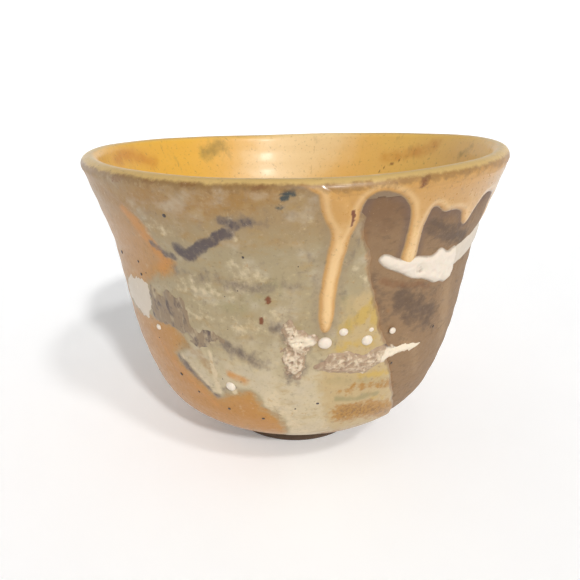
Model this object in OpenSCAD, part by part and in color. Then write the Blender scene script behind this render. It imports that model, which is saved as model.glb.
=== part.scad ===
// Deep matcha bowl: a thrown stoneware body on a trimmed foot ring, with poured glazes and trailed slips.
// Every outside coat is a band of the same outline, so each one lies on the one below it face to face.
// Places on the wall are [bearing, level]: degrees round from the front towards the right, and per cent
// of the height of the marks.

/* [Bowl] */
// Outside diameter at the rim
rim_d = 115; // [92:1:150]
// Height from the table to the top of the lip
height = 85; // [70:1:105]
// Thickness of the glazed wall, which is also the lip's
wall_t = 4.4; // [3:0.1:6]
// Thickness of the floor of the well above the foot
floor_t = 6; // [5:0.5:9]

/* [Curve of the wall] */
// Slope of the underside, up from level
underside_slope = 17.5; // [12:0.5:22]
// Length of the straight underside against the radius of the haunch above it
underside_share = 0.5; // [0.2:0.05:0.8]
// Lean of the wall where the belly meets the round haunch
belly_lean = 23.5; // [18:0.5:28]
// Radius of the slow curve of the belly
belly_r = 88; // [60:1:110]
// Lean of the straight wall, out from upright
wall_lean = 9; // [6:0.5:12]
// Radius of the soft waist under the rim
waist_r = 27; // [15:1:40]
// Lean of the flared rim, out from upright
rim_lean = 17; // [13:0.5:22]
// Length of the flared rim
rim_l = 18; // [10:0.5:20]

/* [Foot] */
// Outside diameter of the foot ring
foot_d = 41; // [32:1:50]
// Height of the foot ring, which is the depth of its recess
foot_h = 6.5; // [5.5:0.5:9]
// Width of the foot ring's wall at the table
foot_w = 6; // [4:0.5:8]
// How far each side of the foot ring draws in towards the table
foot_taper = 0.6; // [0.2:0.1:1.2]

/* [Coats] */
// Thickness of the poured glazes
glaze_t = 0.5; // [0.3:0.1:0.8]
// How far the thick runs stand proud of the glaze
run_t = 1; // [0.6:0.1:1.2]
// How far the white slip stands proud of the glaze
slip_t = 1.2; // [0.6:0.1:1.6]
// How far the thin smears stand proud of the glaze
smear_t = 0.4; // [0.2:0.1:0.6]
// Width of the bare clay left between the foot and the glaze
bare_w = 6; // [3:0.5:9]
// Depth of the inside glaze that folds over the lip
lip_fold = 4.4; // [3.2:0.2:6]
// Depth of the honey collar below that fold
collar_h = 3; // [2:0.2:5]
// Bearing where the honey collar starts
collar_from = 4; // [0:1:4]
// Bearing where the honey collar ends
collar_to = 156; // [130:1:180]
// How far below the top of the lip the marks' full height lies
mark_drop = 2; // [0:0.5:4]

/* [Hidden] */
lip_r = wall_t / 2;
foot_r = foot_d / 2;
floor_z = foot_h + floor_t;
fold_z = height - lip_fold;
collar_z = fold_z - collar_h;
mark_h = height - mark_drop;
collar_level = 100 * collar_z / mark_h;
top_level = 100 * height / mark_h;
glaze_z = foot_h + bare_w * tan(underside_slope);
// Most degrees that one facet of a round bend turns through
bend_step = 6;

// ---- The outline: headings are degrees up from level, going from the foot to the rim ----
function ahead(heading) = [cos(heading), sin(heading)];
function outward(heading) = [sin(heading), -cos(heading)];
// How far a bend of radius one carries the outline from one heading to the next
function bend(from, to) = outward(to) - outward(from);
// The points of a bend after its start, at a distance t outside it; side is -1 for a hollow bend
function bend_points(start, r, from, to, t, side = 1) =
    let (steps = ceil(abs(to - from) / bend_step))
    let (centre = start - side * r * outward(from))
    [for (i = [1 : steps]) centre + (side * r + t) * outward(from + (to - from) * i / steps)];

haunch_end = 90 - belly_lean;
belly_end = 90 - wall_lean;
waist_end = 90 - rim_lean;
lip_centre = [rim_d / 2 - lip_r, height - lip_r];
foot_corner = [foot_r, foot_h];
rim_end = lip_centre + lip_r * outward(waist_end);

// The radius of the haunch and the length of the straight wall close the outline from foot to rim
lower_way = bend(underside_slope, haunch_end) + underside_share * ahead(underside_slope);
wall_way = ahead(belly_end);
gap = rim_end - foot_corner - belly_r * bend(haunch_end, belly_end)
    + waist_r * bend(belly_end, waist_end) - rim_l * ahead(waist_end);
cross_ways = lower_way[0] * wall_way[1] - lower_way[1] * wall_way[0];
haunch_r = (gap[0] * wall_way[1] - gap[1] * wall_way[0]) / cross_ways;
wall_l = (lower_way[0] * gap[1] - lower_way[1] * gap[0]) / cross_ways;
haunch_start = foot_corner + underside_share * haunch_r * ahead(underside_slope);
belly_start = foot_corner + haunch_r * lower_way;
waist_start = belly_start + belly_r * bend(haunch_end, belly_end) + wall_l * wall_way;

// The outside of the wall from the foot to the rim, moved out by t
function skin(t) = concat(
    [foot_corner + t * outward(underside_slope), haunch_start + t * outward(underside_slope)],
    bend_points(haunch_start, haunch_r, underside_slope, haunch_end, t),
    bend_points(belly_start, belly_r, haunch_end, belly_end, t),
    [waist_start + t * outward(belly_end)],
    bend_points(waist_start, waist_r, belly_end, waist_end, t, -1),
    [rim_end + t * outward(waist_end)]);
// The inside of the wall in the same order, moved in by t
function well(t) = skin(-wall_t - t);
// The round of the lip from outside to inside, moved out by t, without its two ends
function lip(t) =
    let (round = bend_points(rim_end, lip_r, waist_end, waist_end + 180, t))
    [for (i = [0 : len(round) - 2]) round[i]];

function backwards(points) = [for (i = [len(points) - 1 : -1 : 0]) points[i]];
function crossing(points, z) = [lookup(z, [for (p = points) [p[1], p[0]]]), z];
// The stretch of an outline above one level, or between two
function above(points, z) = concat([crossing(points, z)], [for (p = points) if (p[1] > z) p]);
function between(points, z0, z1) = concat(
    [crossing(points, z0)],
    [for (p = points) if (p[1] > z0 && p[1] < z1) p],
    [crossing(points, z1)]);

// Places on the wall as seen square on from one bearing
function facing(bearing, places) = [for (p = places)
    let (z = mark_h * p[1] / 100)
    [crossing(skin(0), z)[0] * sin(p[0] - bearing), z]];

// ---- Outlines of the pours, runs and slips: the bearing that each faces, then its places ----
BARE = [70, [[14.5, top_level], [16, 83], [20, 68], [24, 56], [28, 45], [35, 29], [40, 22], [46, 5],
             [124, 5], [118, 50], [125, top_level]]];
YELLOW = [25, [[11, 66], [34, 66], [54, 30], [64, 5], [14, 5], [11, 20], [8, 35], [7, 44], [12, 58]]];
FRONT_ASH = [-12, [[-64, top_level], [-42, 89], [-37, 80], [-32, 74], [-34, 71], [-47, 66], [-62, 62],
                   [-64, 54], [-49, 54], [-38, 53], [-34, 49], [-39, 44], [-26, 31], [-13, 34.5],
                   [-7, 27], [-2, 18], [0, 5], [30, 5], [30, top_level]]];
BACK_ASH = [195, [[160, top_level], [230, top_level], [214, 60], [200, 34], [188, 30], [176, 50]]];
LONG_RUN = [10, [[5, collar_level], [6, 89], [8, 85], [7, 78], [6, 68], [6, 61], [7.5, 56.5], [9, 58],
                 [10, 65], [11, 76], [12, 83], [13.5, 88], [14, collar_level]]];
SHORT_RUN = [29.5, [[25.5, collar_level], [27, 85], [27, 78], [28, 74.5], [30, 73], [32, 75],
                    [31.2, 82], [31.5, 87], [33, collar_level]]];
SIDE_RUN = [47, [[43, collar_level], [45, 86.5], [48.5, 83], [51, 86], [53, collar_level]]];
PATCH = [36, [[21, 76.5], [23, 78], [27, 76.5], [32, 76], [40, 76], [48, 75], [50, 70], [47, 66],
              [42, 66], [34, 69], [24, 74]]];
TRAIL = [58, [[46, 74], [50, 78], [56, 81], [64, 84], [74, 85.5], [74, 84], [64, 80.5], [54, 76], [48, 73]]];
STREAK = [22, [[6, 45.5], [10, 50], [17, 49], [23, 50], [34, 48], [42, 46], [32, 45], [24, 44],
               [17, 41.5], [8, 44]]];
CRUST = [2, [[-4, 59], [0, 60], [3, 56], [5.5, 55], [5.5, 52], [2, 48], [0, 41], [-4, 46]]];
FLASH = [-55, [[-64, 56], [-60, 63], [-46.5, 66], [-47, 60], [-51, 53]]];
SMEAR = [-33, [[-44.5, 65], [-40, 63], [-36, 67], [-31, 63], [-28, 55], [-20, 53], [-26, 49],
               [-36, 52], [-46, 55]]];
// Beads of slip: bearing, level and radius
GLAZE_BEADS = [[13, 56.5, 1.1], [20, 53, 1.5], [21, 56.2, 0.7], [8, 53.5, 1.6], [-20, 37, 1.8],
               [-45, 51.5, 0.9]];
CLAY_BEADS = [[28, 54.5, 1]];

// ---- Solids that several pieces are cut from ----
// A section of the coat between two distances outside the wall and between two levels
module coat_section(t0, t1, z0, z1) {
    polygon(concat(between(skin(t1), z0, z1), backwards(between(skin(t0), z0, z1))));
}

// A full turn of coat from the bare clay to the fold under the lip
module coat(t0, t1) {
    rotate_extrude()
        coat_section(t0, t1, glaze_z, fold_z);
}

// Everything on one side of the axis that an outline takes in
module stencil(outline) {
    rotate([0, 0, outline[0]])
        rotate([90, 0, 0])
            linear_extrude(height = rim_d)
                polygon(facing(outline[0], outline[1]));
}

// The stretch of coat that an outline takes in
module patch(outline, t0, t1) {
    intersection() {
        coat(t0, t1);
        stencil(outline);
    }
}

module collar_turn() {
    rotate([0, 0, collar_from - 90])
        rotate_extrude(angle = collar_to - collar_from)
            children();
}

module collar_room() {
    collar_turn()
        translate([0, collar_z])
            square([rim_d, lip_fold + collar_h]);
}

module beads(places, t0) {
    for (p = places)
        intersection() {
            coat(t0, slip_t);
            rotate([0, 0, p[0]])
                translate([0, 0, mark_h * p[1] / 100])
                    rotate([90, 0, 0])
                        cylinder(h = rim_d, r = p[2], $fn = 24);
        }
}

// ---- Pieces ----
module clay_body() {
    color("#a0866e")
        rotate_extrude()
            polygon(concat(
                [[0, foot_h], [foot_r - glaze_t, foot_h]],
                skin(-glaze_t),
                lip(-glaze_t),
                backwards(above(well(-glaze_t), floor_z - glaze_t)),
                [[0, floor_z - glaze_t]]));
}

module foot_ring() {
    inner_r = foot_r - foot_w;
    color("#4a3b30")
        rotate_extrude()
            polygon([[inner_r, 0], [foot_r - foot_taper, 0], [foot_r - glaze_t, foot_h],
                     [inner_r - foot_taper, foot_h]]);
}

// Lines the well, goes over the lip and ends in a fold outside
module liner_glaze() {
    color("#e3c99a")
        rotate_extrude()
            polygon(concat(
                above(skin(0), fold_z),
                lip(0),
                backwards(above(well(0), floor_z)),
                [[0, floor_z], [0, floor_z - glaze_t]],
                above(well(-glaze_t), floor_z - glaze_t),
                backwards(lip(-glaze_t)),
                backwards(above(skin(-glaze_t), fold_z))));
}

module amber_glaze() {
    color("#c79657")
        difference() {
            coat(-glaze_t, 0);
            collar_room();
            for (outline = [BARE, YELLOW, FRONT_ASH, BACK_ASH])
                stencil(outline);
        }
}

module ash_glaze() {
    color("#aca58f")
        difference() {
            union() {
                patch(FRONT_ASH, -glaze_t, 0);
                patch(BACK_ASH, -glaze_t, 0);
            }
            collar_room();
            for (outline = [BARE, YELLOW, STREAK])
                stencil(outline);
        }
}

module yellow_glaze() {
    color("#c9a95c")
        difference() {
            patch(YELLOW, -glaze_t, 0);
            stencil(BARE);
            stencil(STREAK);
        }
}

module honey_collar() {
    color("#d9b274")
        collar_turn()
            coat_section(-glaze_t, 0, collar_z, fold_z);
}

module long_run() {
    color("#e0bb80")
        patch(LONG_RUN, 0, run_t);
}

module short_run() {
    color("#dcae6c")
        patch(SHORT_RUN, -glaze_t, run_t);
}

module side_run() {
    color("#d9b274")
        patch(SIDE_RUN, -glaze_t, run_t);
}

module white_patch() {
    color("#ece8e4")
        difference() {
            patch(PATCH, -glaze_t, slip_t);
            stencil(SHORT_RUN);
        }
}

module white_trail() {
    color("#e2e2e6")
        difference() {
            patch(TRAIL, -glaze_t, slip_t);
            stencil(PATCH);
        }
}

module white_streak() {
    color("#e4dedb")
        patch(STREAK, -glaze_t, slip_t);
}

module white_crust() {
    color("#dccfc6")
        patch(CRUST, 0, slip_t);
}

module slip_beads() {
    color("#f0ece4") {
        beads(GLAZE_BEADS, 0);
        beads(CLAY_BEADS, -glaze_t);
    }
}

module white_flash() {
    color("#e2e0df")
        patch(FLASH, 0, smear_t);
}

module grey_smear() {
    color("#948a85")
        patch(SMEAR, 0, smear_t);
}

clay_body();
foot_ring();
liner_glaze();
amber_glaze();
ash_glaze();
yellow_glaze();
honey_collar();
long_run();
short_run();
side_run();
white_patch();
white_trail();
white_streak();
white_crust();
slip_beads();
white_flash();
grey_smear();
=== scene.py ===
"""A deep matcha bowl: brown stoneware under poured ash, amber and yellow glazes, honey runs and white slip.

The bowl's form is one outline turned round an axis, warped a little as a hand-made bowl is. Every coat is a
thin closed sheet that lies on that form. Marks on the wall are placed by bearing (degrees round from the
front towards the right) and level (per cent of the height of the low front of the lip).
Sheets are worked out in millimetres and turned to metres when their meshes are made.
"""

import logging
import math
from dataclasses import dataclass, field
from enum import Enum
from functools import partial
from typing import Callable, Iterable, Sequence

import bpy
import numpy as np
from mathutils import Matrix, Vector


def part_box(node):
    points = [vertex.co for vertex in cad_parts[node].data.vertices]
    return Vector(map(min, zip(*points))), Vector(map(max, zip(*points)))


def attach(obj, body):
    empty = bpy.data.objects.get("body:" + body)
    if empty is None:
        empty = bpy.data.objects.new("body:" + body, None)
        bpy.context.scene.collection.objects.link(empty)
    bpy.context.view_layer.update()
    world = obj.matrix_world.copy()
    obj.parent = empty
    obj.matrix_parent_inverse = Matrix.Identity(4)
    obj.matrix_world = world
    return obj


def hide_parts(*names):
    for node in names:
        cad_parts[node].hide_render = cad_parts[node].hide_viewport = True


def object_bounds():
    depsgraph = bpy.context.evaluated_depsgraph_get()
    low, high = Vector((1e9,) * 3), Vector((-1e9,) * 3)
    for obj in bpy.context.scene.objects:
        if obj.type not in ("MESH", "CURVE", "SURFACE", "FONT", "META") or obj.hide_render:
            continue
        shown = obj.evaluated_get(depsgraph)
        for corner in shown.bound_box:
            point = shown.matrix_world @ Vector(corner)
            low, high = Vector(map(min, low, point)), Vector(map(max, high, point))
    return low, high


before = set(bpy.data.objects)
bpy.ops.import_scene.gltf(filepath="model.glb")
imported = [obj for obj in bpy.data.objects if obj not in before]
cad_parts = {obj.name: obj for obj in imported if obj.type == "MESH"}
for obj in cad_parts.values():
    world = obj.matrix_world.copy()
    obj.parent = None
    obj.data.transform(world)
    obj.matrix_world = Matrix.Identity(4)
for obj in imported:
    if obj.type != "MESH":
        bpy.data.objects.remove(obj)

LOG = logging.getLogger("matcha_bowl")
MM = 0.001
ROOT = "root"
CAD_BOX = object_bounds()
# Thickness of the poured coats, in mm
GLAZE_T = 0.5
# How far below the top of the lip the marks' full height lies, in mm
MARK_DROP = 2.0
Place = tuple[float, float]
Array = np.ndarray


def smooth(values: Array, low: float, high: float) -> Array:
    """Rise softly from 0 at low to 1 at high.

    Args:
        values: Numbers to grade.
        low: Value that gives 0.
        high: Value that gives 1.

    Returns:
        An array of grades from 0 to 1.
    """
    t = np.clip((np.asarray(values, float) - low) / (high - low), 0.0, 1.0)
    return t * t * (3.0 - 2.0 * t)


class Grain:
    """Seeded soft noise on a plane, for shapes that no two potters' hands repeat."""

    def __init__(self, seed: int, size: int = 256) -> None:
        """Shuffle the lattice.

        Args:
            seed: Fixes the noise.
            size: Lattice cells before the noise repeats.
        """
        rng = np.random.default_rng(seed)
        self.size = size
        turn = rng.uniform(0.0, 2.0 * math.pi, (size, size))
        self.slope = np.stack([np.cos(turn), np.sin(turn)], -1)

    def at(self, u: Array, v: Array) -> Array:
        """Single-octave noise, about -0.7 to 0.7.

        Args:
            u: First coordinate, in lattice cells.
            v: Second coordinate, in lattice cells.

        Returns:
            The noise at each point.
        """
        u, v = np.broadcast_arrays(np.asarray(u, float), np.asarray(v, float))
        iu, iv = np.floor(u).astype(int), np.floor(v).astype(int)
        fu, fv = u - iu, v - iv
        wu, wv = fu ** 3 * (fu * (6 * fu - 15) + 10), fv ** 3 * (fv * (6 * fv - 15) + 10)
        corner = {}
        for du in (0, 1):
            for dv in (0, 1):
                slope = self.slope[(iu + du) % self.size, (iv + dv) % self.size]
                corner[du, dv] = slope[..., 0] * (fu - du) + slope[..., 1] * (fv - dv)
        near = corner[0, 0] + wu * (corner[1, 0] - corner[0, 0])
        far = corner[0, 1] + wu * (corner[1, 1] - corner[0, 1])
        return near + wv * (far - near)

    def rough(self, u: Array, v: Array, size: float, octaves: int = 3) -> Array:
        """Layered noise whose largest lumps are about one size across.

        Args:
            u: First coordinate, in mm.
            v: Second coordinate, in mm.
            size: Size of the largest lumps, in mm.
            octaves: Layers, each half the size of the last.

        Returns:
            The noise at each point, about -1 to 1.
        """
        total = np.zeros(np.broadcast(u, v).shape)
        for k in range(octaves):
            scale = 2.0 ** k / size
            total = total + self.at(u * scale + 17.3 * k, v * scale + 5.1 * k) / 2.0 ** k
        return total


# ---- Form -------------------------------------------------------------------------------------------


def ahead(heading: float) -> Array:
    """The way the outline goes at a heading, in degrees up from level."""
    return np.array([math.cos(math.radians(heading)), math.sin(math.radians(heading))])


def outward(heading: float) -> Array:
    """The way out of the clay at a heading, in degrees up from level."""
    return np.array([math.sin(math.radians(heading)), -math.cos(math.radians(heading))])


@dataclass(frozen=True)
class Outline:
    """The turned section of the glazed bowl, from the foot up over the lip to the middle of the well."""

    rim_r: float
    height: float
    foot_r: float
    foot_h: float
    wall_t: float = 4.4
    floor_t: float = 6.0
    underside_slope: float = 17.5
    underside_share: float = 0.5
    belly_lean: float = 23.5
    belly_r: float = 88.0
    wall_lean: float = 9.0
    waist_r: float = 27.0
    rim_lean: float = 17.0
    rim_l: float = 18.0
    bend_step: float = 2.0

    @property
    def lip_r(self) -> float:
        """Radius of the round of the lip."""
        return self.wall_t / 2.0

    def bend(self, start: Array, r: float, begin: float, end: float, t: float, side: int = 1) -> list[Array]:
        """Points of a round stretch after its start.

        Args:
            start: Where the stretch starts on the outside face.
            r: Radius of the stretch.
            begin: Heading at its start.
            end: Heading at its end.
            t: Distance outside the face.
            side: -1 for a hollow stretch.

        Returns:
            The points, in order.
        """
        steps = math.ceil(abs(end - begin) / self.bend_step)
        centre = start - side * r * outward(begin)
        return [centre + (side * r + t) * outward(begin + (end - begin) * i / steps)
                for i in range(1, steps + 1)]

    def skin(self, t: float) -> list[Array]:
        """The outside of the wall from the foot to the rim.

        Args:
            t: Distance outside the face.

        Returns:
            The points, in order.
        """
        slope, haunch_end = self.underside_slope, 90.0 - self.belly_lean
        belly_end, waist_end = 90.0 - self.wall_lean, 90.0 - self.rim_lean
        corner = np.array([self.foot_r, self.foot_h])
        lower = outward(haunch_end) - outward(slope) + self.underside_share * ahead(slope)
        belly = self.belly_r * (outward(belly_end) - outward(haunch_end))
        waist = -self.waist_r * (outward(waist_end) - outward(belly_end))
        gap = self.rim_end - corner - belly - waist - self.rim_l * ahead(waist_end)
        haunch_r, wall_l = np.linalg.solve(np.column_stack([lower, ahead(belly_end)]), gap)
        haunch_start = corner + self.underside_share * haunch_r * ahead(slope)
        belly_start = corner + haunch_r * lower
        waist_start = belly_start + belly + wall_l * ahead(belly_end)
        return [corner + t * outward(slope), haunch_start + t * outward(slope),
                *self.bend(haunch_start, haunch_r, slope, haunch_end, t),
                *self.bend(belly_start, self.belly_r, haunch_end, belly_end, t),
                waist_start + t * outward(belly_end),
                *self.bend(waist_start, self.waist_r, belly_end, waist_end, t, -1),
                self.rim_end + t * outward(waist_end)]

    @property
    def rim_end(self) -> Array:
        """Where the flared outside meets the round of the lip."""
        centre = np.array([self.rim_r - self.lip_r, self.height - self.lip_r])
        return centre + self.lip_r * outward(90.0 - self.rim_lean)

    def lip(self, t: float = 0.0) -> list[Array]:
        """The round of the lip from outside to inside, moved out by t."""
        start = 90.0 - self.rim_lean
        return self.bend(self.rim_end, self.lip_r, start, start + 180.0, t)

    def well(self) -> list[Array]:
        """The inside face from the lip down and along the floor to the axis.

        Returns:
            The points, in order.
        """
        floor_z = self.foot_h + self.floor_t
        wall = np.array(self.skin(-self.wall_t))
        corner_r = float(np.interp(floor_z, wall[:, 1], wall[:, 0]))
        down = [p for p in wall[::-1] if p[1] > floor_z + 0.4]
        # A soft hollow carries the wall into the floor
        inner = [np.array([corner_r * k, floor_z + 0.5 * k ** 4]) for k in np.linspace(0.97, 0.0, 24)]
        return down[1:] + inner


class Track:
    """A line that can be read by distance along it, with the way out of the clay at each point."""

    def __init__(self, points: Sequence[Array]) -> None:
        """Measure the line.

        Args:
            points: Radius and height of each point, in mm, with the clay on the left.
        """
        self.points = np.array(points)
        steps = np.diff(self.points, axis=0)
        lengths = np.hypot(steps[:, 0], steps[:, 1])
        self.run = np.concatenate([[0.0], np.cumsum(lengths)])
        self.length = float(self.run[-1])
        ways = steps / lengths[:, None]
        mid = (self.run[1:] + self.run[:-1]) / 2.0
        self._mid, self._ways = mid, ways

    def at(self, s: Array) -> tuple[Array, Array]:
        """Read the line.

        Args:
            s: Distances along it, in mm.

        Returns:
            The points and the unit ways out of the clay, each as an array of pairs.
        """
        point = np.stack([np.interp(s, self.run, self.points[:, k]) for k in (0, 1)], -1)
        way = np.stack([np.interp(s, self._mid, self._ways[:, k]) for k in (0, 1)], -1)
        way = way / np.linalg.norm(way, axis=-1, keepdims=True)
        return point, np.stack([way[..., 1], -way[..., 0]], -1)

    def s_at_height(self, z: Array) -> Array:
        """Distance along a line that only rises, at given heights."""
        return np.interp(z, self.points[:, 1], self.run)


@dataclass(frozen=True)
class Warp:
    """How the fired bowl departs from a true turned form. It never grows past the turned form's box."""

    rim_z: float
    start_z: float = 52.0
    tilt: float = 0.75
    dip: float = 0.8
    oval: float = 0.2
    grain: Grain = field(default_factory=lambda: Grain(11))

    def drop(self, bearing: Array, z: Array) -> Array:
        """How far the wavy rim hangs below a level one, faded in up the wall.

        Args:
            bearing: Bearings, in degrees.
            z: Heights, in mm.

        Returns:
            Distances down, in mm.
        """
        b = np.radians(bearing)
        ripple = 0.25 * self.grain.at(3.0 + 2.2 * np.sin(b), 7.0 + 2.2 * np.cos(b))
        wave = self.tilt * (1.0 - np.sin(b)) + self.dip * (1.0 + np.cos(2.0 * b)) + 0.12 + ripple
        return wave * smooth(z, self.start_z, self.rim_z)

    def apply(self, bearing: Array, r: Array, z: Array) -> tuple[Array, Array]:
        """Warp points on the turned form.

        Args:
            bearing: Bearings, in degrees.
            r: Radii, in mm.
            z: Heights, in mm.

        Returns:
            The warped radii and heights.
        """
        b = np.radians(bearing)
        uneven = 0.5 + 0.3 * np.cos(2.0 * b + 0.6) + 0.2 * np.cos(3.0 * b + 2.0)
        return r - self.oval * smooth(z, 8.0, self.rim_z) * uneven, z - self.drop(bearing, z)


class Form:
    """The bowl's surface: where a place on the wall, the lip or the well is, and which way is out."""

    REF_R = 50.0

    def __init__(self, outline: Outline, mark_h: float) -> None:
        """Lay out the section.

        Args:
            outline: The turned section.
            mark_h: Height that levels are a share of, in mm.
        """
        self.outline = outline
        self.mark_h = mark_h
        self.wall = Track(outline.skin(0.0))
        self.section = Track(outline.skin(0.0) + outline.lip() + outline.well())
        self.warp = Warp(rim_z=outline.height)
        self.hand = Grain(5)
        self.crest_s = float(self.section.run[int(np.argmax(self.section.points[:, 1]))])
        # The inside face from the floor up, for reading places on it
        down = self.section.points[:, 1][::-1]
        rising = int(np.argmax(down))
        self._inner = (down[:rising], self.section.run[::-1][:rising])

    def s_of(self, level: Array, bearing: Array, inside: bool = False) -> Array:
        """Distance along the section at a level of the warped bowl.

        Args:
            level: Levels, per cent.
            bearing: Bearings, in degrees.
            inside: Whether the places lie inside the bowl.

        Returns:
            Distances, in mm.
        """
        height = np.asarray(level, float) * self.mark_h / 100.0
        z = height
        for _ in range(4):
            z = height + self.warp.drop(bearing, z)
        if inside:
            return np.interp(z, *self._inner)
        past = np.maximum(z - self.wall.points[-1, 1], 0.0)
        return self.wall.s_at_height(z) + past

    def level_of(self, s: Array) -> Array:
        """Level of the unwarped section at a distance along it, per cent."""
        return self.section.at(s)[0][..., 1] * 100.0 / self.mark_h

    def flat(self, places: Iterable[Place], inside: bool = False) -> Array:
        """Places on the wall as points on a plane, in mm.

        Args:
            places: Bearing and level of each place.
            inside: Whether they lie inside the bowl.

        Returns:
            One pair of plane coordinates for each place.
        """
        bearing, level = np.array(list(places), float).T
        return np.stack([np.radians(bearing) * self.REF_R, self.s_of(level, bearing, inside)], -1)

    def rings(self, s: Array, bearing: Array) -> Array:
        """Height of the throwing rings.

        Args:
            s: Distances along the section, in mm.
            bearing: Bearings, in degrees.

        Returns:
            Heights, in mm.
        """
        turn = bearing / 360.0
        soft = np.sin(2.0 * math.pi * (s / 6.3 + turn)) * 0.05
        return soft + 0.07 * self.hand.rough(s / 3.0, np.sin(np.radians(bearing)) * 2.0, 2.2, 2)

    def place(self, bearing: Array, s: Array, lift: Array) -> Array:
        """Points of the surface.

        Args:
            bearing: Bearings, in degrees.
            s: Distances along the section from the foot, in mm.
            lift: Distances outside the glazed face, in mm.

        Returns:
            Points in the bowl's own frame, in mm.
        """
        point, out = self.section.at(s)
        length = self.section.length
        ends = smooth(s, 3.0, 12.0) * (1.0 - smooth(s, length - 22.0, length - 6.0))
        lift = lift + (self.rings(s, bearing) - 0.12) * ends
        moved = point + out * lift[..., None]
        r, z = self.warp.apply(bearing, moved[..., 0], moved[..., 1])
        b = np.radians(bearing)
        return np.stack([r * np.sin(b), -r * np.cos(b), z], -1)


# ---- Marks on the wall ------------------------------------------------------------------------------


def rounded(points: Array, steps: int = 6) -> Array:
    """A closed outline that passes smoothly through its points.

    Args:
        points: Corner points on the plane.
        steps: Points laid between two corners.

    Returns:
        The smoothed outline.
    """
    before, after = np.roll(points, 1, 0), np.roll(points, -1, 0)
    later = np.roll(points, -2, 0)
    rows = []
    for t in np.arange(steps) / steps:
        rows.append(0.5 * (2 * points + (after - before) * t
                           + (2 * before - 5 * points + 4 * after - later) * t ** 2
                           + (3 * points - before - 3 * after + later) * t ** 3))
    return np.stack(rows, 1).reshape(-1, 2)


def inside_by(u: Array, v: Array, outline: Array) -> Array:
    """How far each point lies inside a closed outline; outside is negative.

    Args:
        u: First plane coordinate, in mm.
        v: Second plane coordinate, in mm.
        outline: Corners of the outline, in mm.

    Returns:
        Signed distances, in mm.
    """
    shape = np.broadcast(u, v).shape
    p = np.stack([np.broadcast_to(u, shape).ravel(), np.broadcast_to(v, shape).ravel()], -1)
    near = np.full(len(p), 1e9)
    within = np.zeros(len(p), bool)
    for a, b in zip(outline, np.roll(outline, -1, 0)):
        way = b - a
        t = np.clip(((p - a) @ way) / max(float(way @ way), 1e-9), 0.0, 1.0)
        near = np.minimum(near, np.hypot(*(p - a - t[:, None] * way).T))
        crosses = (a[1] > p[:, 1]) != (b[1] > p[:, 1])
        with np.errstate(divide="ignore", invalid="ignore"):
            left = p[:, 0] < (b[0] - a[0]) * (p[:, 1] - a[1]) / (b[1] - a[1]) + a[0]
        within ^= crosses & left
    return (np.where(within, 1.0, -1.0) * near).reshape(shape)


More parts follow.
